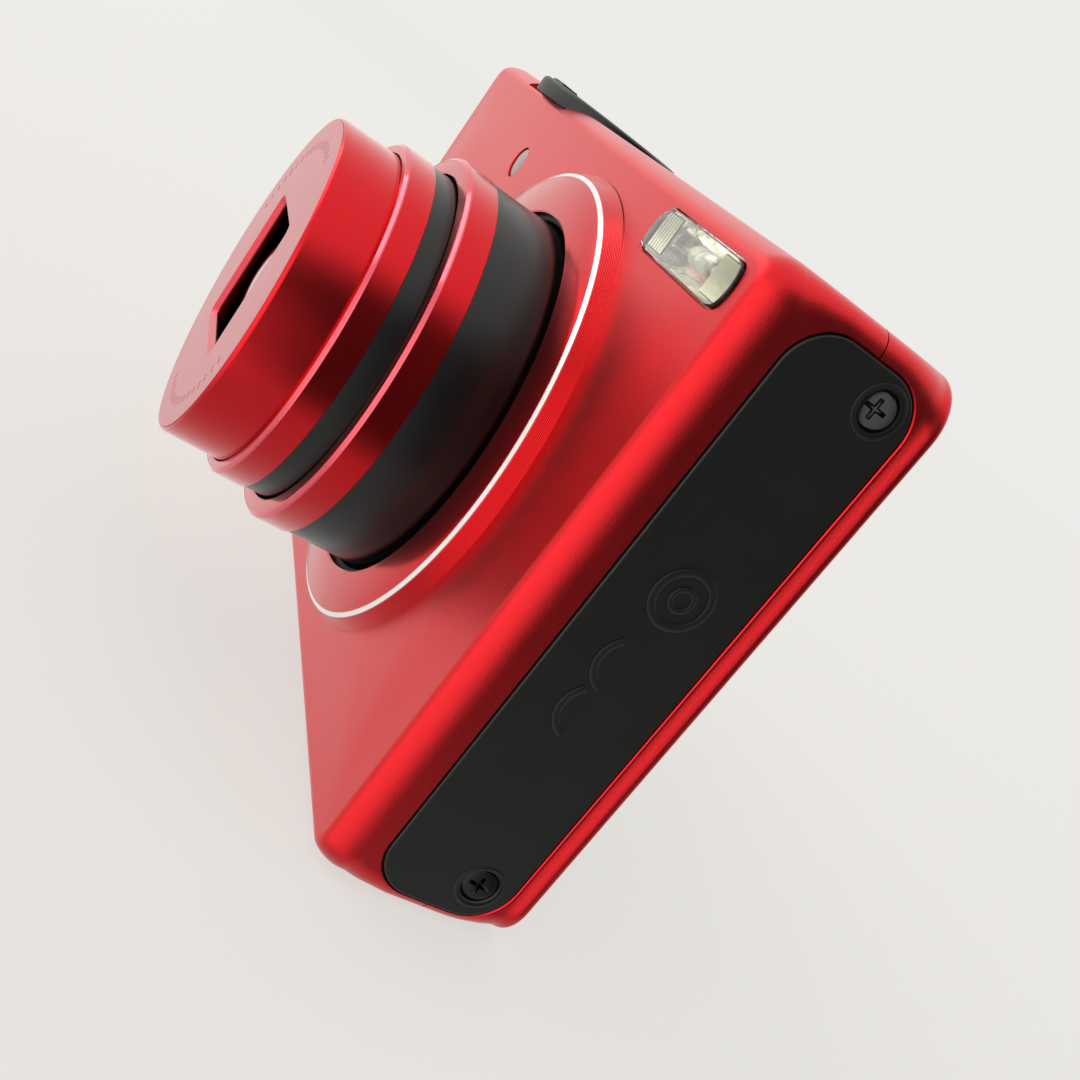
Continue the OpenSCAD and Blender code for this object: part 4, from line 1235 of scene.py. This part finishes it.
@dataclass
class Flash:
    """The flash window with its prism ribs, the foil trough and the tube; and the small lamp."""

    dresser: Dresser
    rib: float = 0.5

    @staticmethod
    def outline_points(inset: float) -> list[Pair]:
        """The window's outline: one cut corner at the left, a bowed right end."""
        box = Box.of("flash_window")
        x0, x1, z0, z1 = box.low.x + inset, box.high.x - inset, box.low.z + inset, box.high.z - inset
        mid = (z0 + z1) / 2
        bow = [(x1 - 1.15 + 1.15 * math.cos(math.radians(a)),
                mid + (z1 - mid) * math.sin(math.radians(a)) * 0.995)
               for a in (-62, -40, -20, 0, 20, 40, 62)]
        cut = [(x1 - 1.5, z1), (x0 + 1.5, z1), (x0 + 0.45, z1 - 0.75), (x0, z1 - 1.6), (x0, z0 + 0.35)]
        points = [(x0 + 0.35, z0), (x1 - 1.5, z0)] + bow + cut
        return eased(points, 0.3, 3)

    def build(self) -> None:
        """Makes the window, its ribs, the trough, the tube and the lamp."""
        box = Box.of("flash_window")
        y0, z0, z1 = box.low.y, box.low.z, box.high.z
        back = y0 + 1.15
        window = shape(
            "flash_pane",
            lambda bm: plate(bm, Axis.Y, path_flat(self.outline_points(0.02)), (y0 + 0.04, back),
                             (0.12, 0.0)), 40)
        self.dresser.place(window, "clear_glass", CASING, "clear_glass", "flash_window")
        for name, x, count in (("flash_ribs_left", box.low.x + 0.7, 6),
                               ("flash_ribs_right", box.high.x - 4.7, 8)):
            bm = bmesh.new()
            w = self.rib
            half = w * 0.24
            section = [(-half, 0.1), (half, 0.1), (half, 0.0), (0.0, -0.16), (-half, 0.0)]
            skin(bm, [[(u, v, z) for u, v in section] for z in (z0 + 0.55, z1 - 0.5)])
            rib = to_object("rib_master", bm, 10)
            ribs = Copies(count, (x, back + 0.27, 0), (w, 0, 0)).make(name, rib, self.dresser.get("prism"))
            seat(ribs, CASING, "clear_glass")
            # A dark sheet behind the ribs: painted shade in the gaps between them.
            shade_sheet = shape(
                name + "_backing",
                lambda bm: plate(bm, Axis.Y, box_flat((x - w / 2, z0 + 0.5),
                                                      (x + w * (count - 0.5), z1 - 0.45), 0.1, 2),
                                 (back + 0.3, back + 0.38)))
            self.dresser.place(shade_sheet, "rib_painted_shade", CASING, "clear_glass")
        bm = bmesh.new()
        count = 26
        zc = (z0 + z1) / 2
        hz = (z1 - z0) / 2 - 0.05

        def bowl(x: float, grow: float) -> list[tuple[float, float, float]]:
            """One cross-section of the trough."""
            waves = [math.sin(math.pi * (k / count - 0.5)) for k in range(count + 1)]
            return [(x, back + 0.42 + (2.5 + grow) * (1 - w ** 2) ** 0.6, zc + (hz + grow) * w) for w in waves]

        lanes = 40
        x0, x1 = box.low.x + 0.35, box.high.x - 0.35
        inner, outer = [], []
        for k in range(lanes + 1):
            x = x0 + (x1 - x0) * k / lanes
            pinch = 0.3 * math.sin(k * 2.1) * math.sin(k * 0.7)
            inner.append([bm.verts.new(p) for p in bowl(x, pinch)])
            outer.append([bm.verts.new(p) for p in bowl(x, 0.3)])
        for rows in (inner, outer):
            for a, b in zip(rows, rows[1:]):
                for i in range(count):
                    bm.faces.new((a[i], a[i + 1], b[i + 1], b[i]))
        for k in range(lanes):
            for i in (0, count):
                bm.faces.new((inner[k][i], inner[k + 1][i], outer[k + 1][i], outer[k][i]))
        for k in (0, lanes):
            for i in range(count):
                bm.faces.new((inner[k][i], inner[k][i + 1], outer[k][i + 1], outer[k][i]))
        # The trough's foil glows faintly though it is no lamp: painted light in place of the light that it
        # gathers.
        foil = to_object("flash_foil_trough", bm, 40)
        self.dresser.place(foil, "foil", CASING, "steel", "flash_reflector")
        # The end walls take the same faintly glowing foil: painted light.
        for i, x in enumerate((box.low.x + 0.2, box.high.x - 0.3)):
            wall = shape(
                f"trough_end_{i + 1}",
                lambda bm: plate(bm, Axis.X, box_flat((back + 0.3, z0 + 0.1), (back + 2.6, z1 - 0.1), 0.3),
                                 (x, x + 0.12)))
            self.dresser.place(wall, "foil", CASING, "steel")
        tube = Box.of("flash_tube")
        glass = shape(
            "flash_tube_glass",
            lambda bm: lathe(bm, [(0, tube.low.x), (0.5, tube.low.x + 0.1), (0.75, tube.low.x + 0.5),
                                  (0.75, tube.high.x - 0.5), (0.5, tube.high.x - 0.1), (0, tube.high.x)],
                             Axis.X, (tube.mid.y, tube.mid.z), 32, False))
        self.dresser.place(glass, "clear_glass", CASING, "clear_glass", "flash_tube")
        lamp = Box.of("focus_lamp")
        r = lamp.size.x / 2
        lens = shape(
            "focus_lamp_lens",
            lambda bm: lathe(bm, [(0, lamp.low.y), (r * 0.35, lamp.low.y + 0.03),
                                  (r * 0.7, lamp.low.y + 0.11), (r - 0.08, lamp.low.y + 0.22),
                                  (r, lamp.low.y + 0.3), (r, lamp.high.y), (0, lamp.high.y)], Axis.Y,
                             (lamp.mid.x, lamp.mid.z), 64, False))
        self.dresser.place(lens, "frosted", CASING, "clear_glass", "focus_lamp")


# ---- keys ---------------------------------------------------------------------------


@dataclass
class Keys:
    """The zoom lever, the shutter and power buttons and everything on the back."""

    dresser: Dresser

    def round_key(self, name: str, node: str, body: str, axis: Axis, flange: float, finish: str = "chrome_key",
                  dish: float = 0.12) -> None:
        """Makes one round key with a dished top, eased edge and a flange behind the wall.

        Args:
            name: The piece's name.
            node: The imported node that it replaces.
            body: The body that it rides on.
            axis: The way that it faces.
            flange: How far its flange stands past its side.
            finish: Its finish.
            dish: How deep its top is dished.
        """
        box = Box.of(node)
        i = "xyz".index(axis.value)
        low, high = box.low[i], box.high[i]
        at = tuple(box.mid[k] for k in range(3) if k != i)
        wide = box.size[[k for k in range(3) if k != i][0]] / 2
        r = wide - flange
        thick = 0.7
        profile: list[Pair] = [(0, low), (wide, low), (wide, low + thick), (r, low + thick), (r, high - 0.3),
                               (r - 0.04, high - 0.14), (r - 0.14, high - 0.03), (r - 0.3, high),
                               (r * 0.75, high - dish * 0.45), (r * 0.45, high - dish * 0.85), (0, high - dish)]
        obj = shape(name, lambda bm: lathe(bm, profile, axis, at, 96, False), 35)
        self.dresser.place(obj, finish, body, "chrome_key", node)

    def lever(self) -> None:
        """Makes the zoom lever with its ribbed finger tab, and the shutter button in it."""
        box, stem = Box.of("zoom_lever"), Box.of("shutter_button")
        mid = stem.mid
        low = box.high.z - 2.3
        r, hole = 9.0, stem.size.x / 2 - 0.9 + 0.15
        obj = shape(
            "zoom_lever_ring",
            lambda bm: lathe(bm, [(hole, low - 2.05), (6.3, low - 2.05), (6.3, low), (r - 0.1, low),
                                  (r, low + 0.1), (r, low + 1.35), (r - 0.12, low + 1.62),
                                  (r - 0.4, low + 1.78), (r - 0.7, low + 1.8), (hole + 0.6, low + 1.55),
                                  (hole + 0.2, low + 1.5), (hole, low + 1.35)], Axis.Z, (mid.x, mid.y), 128))

        def tab(tool: bmesh.types.BMesh) -> None:
            """Draws the finger tab that points forward and out."""
            turn = math.radians(TAB_BEARING)
            rings = []
            for d, wide, tall in ((r - 1.4, 2.3, 1.7), (r - 0.3, 2.2, 1.95), (r + 0.6, 2.0, 2.24),
                                  (r + 1.5, 1.75, 2.25),
                                  (r + 1.95, 1.3, 2.1), (r + 2.08, 0.9, 1.7)):
                loop = eased([(-wide, 0.02), (wide, 0.02), (wide, tall), (-wide, tall)], 0.45, 3)
                rings.append([(mid.x + d * math.cos(turn) - u * math.sin(turn),
                               mid.y + d * math.sin(turn) + u * math.cos(turn), low + v) for u, v in loop])
            skin(tool, rings)

        carve(obj, tab, Cut.JOIN)
        weigh(obj, 35)
        self.dresser.place(obj, "black_plastic", "lever", "black_plastic", "zoom_lever")
        rib = shape(
            "grip_master",
            lambda bm: plate(bm, Axis.X, box_flat((-0.14, -0.05), (0.14, 0.12), 0.06, 2), (r - 0.1, r + 1.5),
                             (0.05, 0.05)))
        grips = Copies(5, (mid.x, mid.y, low + 2.14), (0, 0, 0), (0, 0, TAB_BEARING - 6.4), (0, 0, 3.2)).make(
            "lever_grip_ribs", rib, self.dresser.get("black_plastic"))
        seat(grips, "lever", "black_plastic")
        self.round_key("shutter_cap", "shutter_button", "shutter", Axis.Z, 0.9, dish=0.35)
        self.round_key("power_cap", "power_button", "power", Axis.Z, 0.8)

    def rear(self) -> None:
        """Makes the display window, the keys, the ring and the switch."""
        screen = Box.of("lcd_window")
        pane = shape(
            "display_pane",
            lambda bm: plate(bm, Axis.Y, box_flat((screen.low.x, screen.low.z),
                                                  (screen.high.x, screen.high.z), 1.4, 12),
                             (screen.low.y, screen.high.y - 0.02), (0, 0.2), 4))
        self.dresser.place(pane, "dark_window", CASING, "dark_window", "lcd_window")
        for name in ("movie", "playback", "display", "menu"):
            self.round_key(f"{name}_cap", f"{name}_button", name, Axis.Y, 0.7,
                           "red_turned" if name == "movie" else "chrome_key",
                           0.14 if name == "movie" else -0.05)
        ring = Box.of("direction_ring")
        r, low, high = ring.size.x / 2 - 0.6, ring.low.y, ring.high.y
        profile = [(5.3, low), (r + 0.6, low), (r + 0.6, low + 0.6), (r, low + 0.6), (r, high - 0.5),
                   (r - 0.08, high - 0.2),
                   (r - 0.35, high - 0.02), (r - 0.8, high), (r - 1.9, high - 0.28), (5.4, high - 0.34), (4.6,
                           high - 0.16),
                   (4.36, high - 0.28), (4.3, high - 0.5), (4.3, low + 0.6), (5.3, low + 0.6)]
        obj = shape(
            "direction_pad_ring",
            lambda bm: lathe(bm, profile, Axis.Y, (ring.mid.x, ring.mid.z), 144), 35)
        self.dresser.place(obj, "chrome_key", "pad", "chrome_key", "direction_ring")
        bm = bmesh.new()
        arrow = [(6.35, -0.55), (7.25, 0.0), (6.35, 0.55)]
        skin(bm, [[(u, y, v) for u, v in arrow] for y in (0.02, -0.25)])
        mark = to_object("arrow_master", bm, 10)
        marks = Copies(4, (ring.mid.x, high - 0.27, ring.mid.z), (0, 0, 0), (0, 0, 0), (0, 90, 0)).make(
            "direction_marks", mark, self.dresser.get("pale_mark"))
        seat(marks, "pad", "chrome_key")
        self.round_key("set_cap", "set_button", "set", Axis.Y, 0.7, dish=0.2)
        mat = Box.of("pad_mat")
        obj = shape(
            "pad_rubber_mat",
            lambda bm: lathe(bm, eased([(4.8, mat.low.y), (9, mat.low.y), (9, mat.high.y),
                                        (7.4, mat.high.y - 0.2), (4.8, mat.high.y)], 0.12, 2), Axis.Y,
                             (mat.mid.x, mat.mid.z), 96))
        self.dresser.place(obj, "rubber", "mat", "rubber", "pad_mat")
        switch = Box.of("mode_switch")
        z, x0 = switch.mid.z, switch.low.x
        bm = bmesh.new()
        plate(bm, Axis.Y, box_flat((x0, switch.low.z), (switch.high.x, switch.high.z), 0.5),
              (switch.low.y, switch.low.y + 0.6))
        plate(bm, Axis.Y, box_flat((x0 + 1.7, z - 1.1), (x0 + 5.9, z + 1.1), 0.8),
              (switch.low.y + 0.55, switch.high.y),
              (0, 0.25))
        obj = to_object("mode_slider", bm)
        self.dresser.place(obj, "black_plastic", "mode", "black_plastic", "mode_switch")
        rib = shape(
            "slider_rib",
            lambda bm: plate(bm, Axis.Z, box_flat((-0.11, -0.1), (0.11, 0.08), 0.05, 2), (-0.8, 0.8),
                             (0.04, 0.04)))
        ribs = Copies(4, (x0 + 2.7, switch.high.y - 0.08, z), (0.73, 0, 0)).make(
            "slider_ribs", rib, self.dresser.get("black_plastic"))
        seat(ribs, "mode", "black_plastic")

    def build(self) -> None:
        """Makes all the keys."""
        self.lever()
        self.rear()


# ---- base and left side -----------------------------------------------------------------


@dataclass
class Base:
    """The battery door and its catch, the tripod nut, the base screws, the strap lug and the side door."""

    dresser: Dresser
    thread_pitch: float = 1.27

    def door(self) -> None:
        """Makes the battery door with its catch."""
        box, pin = Box.of("battery_door"), Box.of("door_pin").mid
        bm = bmesh.new()
        low, high = (box.low.x, box.low.y), (box.high.x, box.high.y)
        plate(bm, Axis.Z, box_flat(low, high, 0.9, 8), (box.low.z, box.high.z), (0.18, 0.06))
        obj = to_object("battery_door_leaf", bm)
        for x in POST_X:
            carve(obj, lambda t, x=x: plate(t, Axis.Z, box_flat((x - 0.2, 4.6), (x + 2.2, 9), 0.2, 3), (-1, 3)))
        carve(obj, lambda t: plate(t, Axis.Z, box_flat((-29.8, -3.9), (-23.4, -1.3), 0.8), (-1, 3)))
        carve(obj, lambda t: lathe(t, [(0, -50), (0.45, -50), (0.45, 0), (0, 0)], Axis.X, (pin.y, pin.z), 24,
                                   False))
        weigh(obj)
        self.dresser.place(obj, "red_anodised", "door", "red_anodised", "battery_door")
        catch = Box.of("door_catch")
        bm = bmesh.new()
        x0 = catch.low.x + 1
        plate(bm, Axis.Z, box_flat((x0, catch.low.y + 0.35), (x0 + 4, catch.high.y - 0.35), 0.7),
              (catch.low.z, catch.high.z - 0.45), (0.15, 0))
        plate(bm, Axis.Z, box_flat((catch.low.x, catch.low.y), (catch.high.x, catch.high.y), 0.5),
              (catch.high.z - 0.5, catch.high.z))
        obj = to_object("door_catch_tab", bm)
        self.dresser.place(obj, "black_plastic", "catch", "black_plastic", "door_catch")
        rib = shape(
            "catch_rib",
            lambda bm: plate(bm, Axis.Y, box_flat((-0.1, -0.06), (0.1, 0.06), 0.04, 2), (-0.75, 0.75)))
        ribs = Copies(5, (x0 + 0.8, catch.mid.y, catch.low.z + 0.04), (0.6, 0, 0)).make(
            "catch_ribs", rib, self.dresser.get("black_plastic"))
        seat(ribs, "catch", "black_plastic")

    def socket(self) -> None:
        """Makes the tripod nut with its thread, and the base screws."""
        box = Box.of("tripod_nut")
        bore, r, top = 3.175, box.size.x / 2, box.high.z
        profile: list[Pair] = [(r - 0.2, 0.02), (r, 0.2), (r, 1.4), (r - 0.3, 1.4), (r - 0.3, top), (0, top),
                               (0, 5.5), (bore, 5.5)]
        turns = int(5.2 / self.thread_pitch)
        for k in range(turns):
            z = 5.3 - k * self.thread_pitch
            profile += [(bore, z), (bore + 0.5, z - self.thread_pitch / 2),
                        (bore, z - self.thread_pitch * 0.94)]
        profile += [(bore, 0.45), (bore + 0.4, 0.02)]
        bm = bmesh.new()
        lathe(bm, [(p[0], p[1]) for p in profile[5:]] + profile[:6], Axis.Z, (0, 0), 96, False)
        bmesh.ops.remove_doubles(bm, verts=bm.verts[:], dist=0.001)
        obj = to_object("tripod_nut_threaded", bm)
        self.dresser.place(obj, "brass", CASING, "brass", "tripod_nut")
        screws = Box.of("base_screws")
        head = phillips(1.6, 0.55, 0.85, 4.6)
        x0, x1 = screws.low.x + 1.6, screws.high.x - 1.6
        made = Copies(2, (x0, screws.mid.y, 0.72), (x1 - x0, 0, 0), (180, 0, 15), (0, 0, 33)).make(
            "base_screw_ends", head, self.dresser.get("steel"))
        seat(made, CASING, "steel", "base_screws")
        head = phillips(1.6, 0.55, 0.85, 4.6)
        made = Copies(1, (12.0, screws.mid.y, 0.72), (0, 0, 0), (180, 0, 40)).make(
            "base_screw_middle", head, self.dresser.get("steel"))
        seat(made, CASING, "steel")

    def left_side(self) -> None:
        """Makes the terminal door with its finger notch and raised symbol, and the strap lug."""
        box = Box.of("terminal_door")
        bm = bmesh.new()
        x0 = box.low.x
        plate(bm, Axis.X, box_flat((box.low.y, box.low.z), (box.high.y, box.high.z), 1.1, 10), (x0, x0 + 1.15),
              (0.2, 0.05), 4)
        plate(bm, Axis.X, box_flat((0.4, 10.4), (5, 21), 0.4), (x0 + 1.1, box.high.x))
        obj = to_object("terminal_door_leaf", bm)
        carve(obj, lambda t: lathe(t, [(0, box.mid.z - 1.8), (0.55, box.mid.z - 1.8), (0.55, box.mid.z + 1.8),
                                       (0, box.mid.z + 1.8)], Axis.Z, (x0 - 0.1, box.low.y + 0.25), 24, False))
        weigh(obj)
        self.dresser.place(obj, "rubber", "terminal", "rubber", "terminal_door")
        lug = Box.of("strap_lug")
        y0, y1, z0, z1 = lug.low.y, lug.high.y, lug.low.z, lug.high.z
        obj = shape(
            "strap_lug_plate",
            lambda bm: plate(bm, Axis.X, box_flat((y0, z0), (y1, z1), 0.8), (lug.low.x + 0.3, lug.high.x),
                             (0.15, 0)))
        carve(obj, lambda t: plate(t, Axis.X, box_flat((y0 - 2, 45.6), (y1 + 2, 49.4), 0.2),
                                   (lug.low.x - 2, lug.high.x - 0.5)))
        pin = shape(
            "strap_bar",
            lambda bm: lathe(bm, [(0, z0 + 0.4), (0.6, z0 + 0.4), (0.6, z1 - 0.4), (0, z1 - 0.4)], Axis.Z,
                             (lug.low.x + 1.15, (y0 + y1) / 2), 32, False))
        weigh(obj)
        for piece in (obj, pin):
            self.dresser.dress(piece, "steel")
        seat(obj, CASING, "steel", "strap_lug")
        seat(pin, CASING, "steel")

    def build(self) -> None:
        """Makes the base and the left side."""
        self.door()
        self.socket()
        self.left_side()


# ---- inside -------------------------------------------------------------------------------


@dataclass
class Inside:
    """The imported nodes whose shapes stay, each with its real finish."""

    dresser: Dresser

    def build(self) -> None:
        """Dresses the inner parts."""
        finishes = {
            "steel": ("chassis", "cam_ring", "zoom_motor", "microphone", "card_holder", "door_pin"),
            "black_tube": ("fixed_barrel", "lens_base", "focus_group"),
            "black_plastic": ("flash_capacitor", "speaker", "battery_frame"),
            "brass": ("drive_gear",),
            "board": ("sensor_board", "key_board", "main_board"),
            "dark_window": ("image_sensor", "lcd_panel"),
            "cell": ("battery_pack",),
            "card_blue": ("memory_card",),
        }
        for key, nodes in finishes.items():
            for node in nodes:
                self.dresser.dress_node(node, key)
                LOG.info("%s: packed shape, %s", node, key)


# ---- studio ----------------------------------------------------------------------------------


@dataclass
class Studio:
    """The pale floor, the soft room light and the camera."""

    eye: tuple[float, float, float] = (116.56, -43.73, 53.86)
    bearing: float = 153.07
    dip: float = -15.87
    roll: float = -37.64
    focal: float = 40.477

    def camera(self) -> Matrix:
        """Sets the camera up and returns its turn."""
        yaw, pitch = math.radians(self.bearing), math.radians(self.dip)
        ahead = Vector((math.cos(yaw) * math.cos(pitch), math.sin(yaw) * math.cos(pitch), math.sin(pitch)))
        level = ahead.cross(Vector((0, 0, 1))).normalized()
        turn = Matrix.Rotation(math.radians(self.roll), 3, ahead)
        right = turn @ level
        up = right.cross(ahead)
        spin = Matrix((right, up, -ahead)).transposed()
        data = bpy.data.cameras.new("camera")
        data.lens, data.sensor_width = self.focal, 36.0
        data.clip_start, data.clip_end = 0.005, 50.0
        cam = bpy.data.objects.new("camera", data)
        bpy.context.scene.collection.objects.link(cam)
        cam.matrix_world = Matrix.Translation(Vector(self.eye) * MM) @ spin.to_4x4()
        bpy.context.scene.camera = cam
        return spin

    def floor(self) -> None:
        """Lays a wide pale sheet under the camera."""
        bm = bmesh.new()
        rings = [[(r * math.cos(k * math.tau / 96), r * math.sin(k * math.tau / 96), z) for k in range(96)]
                 for r, z in ((6000.0, -40.0), (6000.0, -0.02), (3000.0, -0.02), (600.0, -0.02))]
        skin(bm, rings)
        sheet = to_object("pale_floor", bm)
        mat = Finish("pale_seamless_paper", "#6b6a68", 1.0, grain_mm=0.6, relief_mm=0.01, mottle=0.01,
                     glow=4.3).build()
        sheet.data.materials.append(mat)
        sheet.visible_glossy = False

    def room(self, spin: Matrix) -> None:
        """Fills the room with soft light: brighter above, dim behind the viewer."""
        up = Vector(spin.col[1])
        world = bpy.data.worlds.new("soft_room")
        bpy.context.scene.world = world
        world.use_nodes = True
        tree = world.node_tree
        tree.nodes.clear()
        way = add_node(tree, "ShaderNodeTexCoord").outputs["Generated"]

        def lobe(toward: Vector, start: float, end: float, low: float, high: float) -> bpy.types.NodeSocket:
            """A smooth change of brightness about one direction."""
            dot = add_node(tree, "ShaderNodeVectorMath",
                           {"operation": "DOT_PRODUCT", 1: tuple(toward.normalized())},
                           {0: way})
            ramp = add_node(tree, "ShaderNodeMapRange",
                            {"interpolation_type": "SMOOTHSTEP", "From Min": start, "From Max": end,
                             "To Min": low, "To Max": high}, {0: dot.outputs["Value"]})
            return ramp.outputs[0]

        tall = lobe(up, -1.0, 0.7, 0.62, 1.08)
        dim = lobe(Vector((0.93, 0.36, 0.12)), 0.58, 0.9, 1.0, 0.13)
        strip = lobe(Vector((0.70, -0.70, -0.15)), 0.55, 0.97, 0.0, 0.75)
        left = lobe(Vector((-0.88, -0.40, -0.25)), 0.75, 1.0, 1.0, 0.95)
        dimmed = add_node(tree, "ShaderNodeMath", {"operation": "MULTIPLY"}, {0: tall, 1: dim})
        shaded = add_node(tree, "ShaderNodeMath", {"operation": "MULTIPLY"}, {0: dimmed.outputs[0], 1: left})
        total = add_node(tree, "ShaderNodeMath", {"operation": "ADD"}, {0: shaded.outputs[0], 1: strip})
        seen = add_node(tree, "ShaderNodeLightPath").outputs["Is Camera Ray"]
        pick = add_node(tree, "ShaderNodeMix", {"data_type": "FLOAT", "B": 0.86},
                        {"Factor": seen, "A": total.outputs[0]})
        glow = add_node(tree, "ShaderNodeBackground", {"Color": linear("#fdfcf9")},
                        {"Strength": pick.outputs[0]})
        add_node(tree, "ShaderNodeOutputWorld", None, {"Surface": glow.outputs[0]})

    def softbox(self, name: str, toward: Vector, reach: float, size: float, watts: float) -> None:
        """Hangs one square softbox that faces the camera body.

        Args:
            name: The lamp's name.
            toward: The direction from the body to the lamp.
            reach: Its distance in metres.
            size: Its side in metres.
            watts: Its power.
        """
        data = bpy.data.lights.new(name, "AREA")
        data.shape, data.size, data.energy = "SQUARE", size, watts
        lamp = bpy.data.objects.new(name, data)
        bpy.context.scene.collection.objects.link(lamp)
        way = toward.normalized()
        middle = Vector((0.0, 0.0, self.eye[2] * MM / 2))
        lamp.location = middle + way * reach
        lamp.rotation_mode = "QUATERNION"
        lamp.rotation_quaternion = way.to_track_quat("Z", "Y")

    def build(self) -> None:
        """Sets up the whole studio."""
        spin = self.camera()
        right, up, back = (Vector(spin.col[i]) for i in range(3))
        self.floor()
        self.room(spin)
        self.softbox("key_softbox", up + back * 0.1 - right * 0.35, 0.9, 0.7, 3.0)
        bpy.context.scene.view_settings.view_transform = "Standard"


def main() -> None:
    """Builds every sub-assembly in order."""
    logging.basicConfig(level=logging.INFO, format="%(name)s %(message)s")
    Studio().build()
    lens_box = Box.of("lens_ring").mid
    dresser = Dresser(Vector((lens_box.x, 0, lens_box.z)))
    for part in (Casing, SideCover, Lens, Flash, Keys, Base, Inside):
        part(dresser).build()
        LOG.info("%s done", part.__name__)


if __name__ == "__main__":
    main()
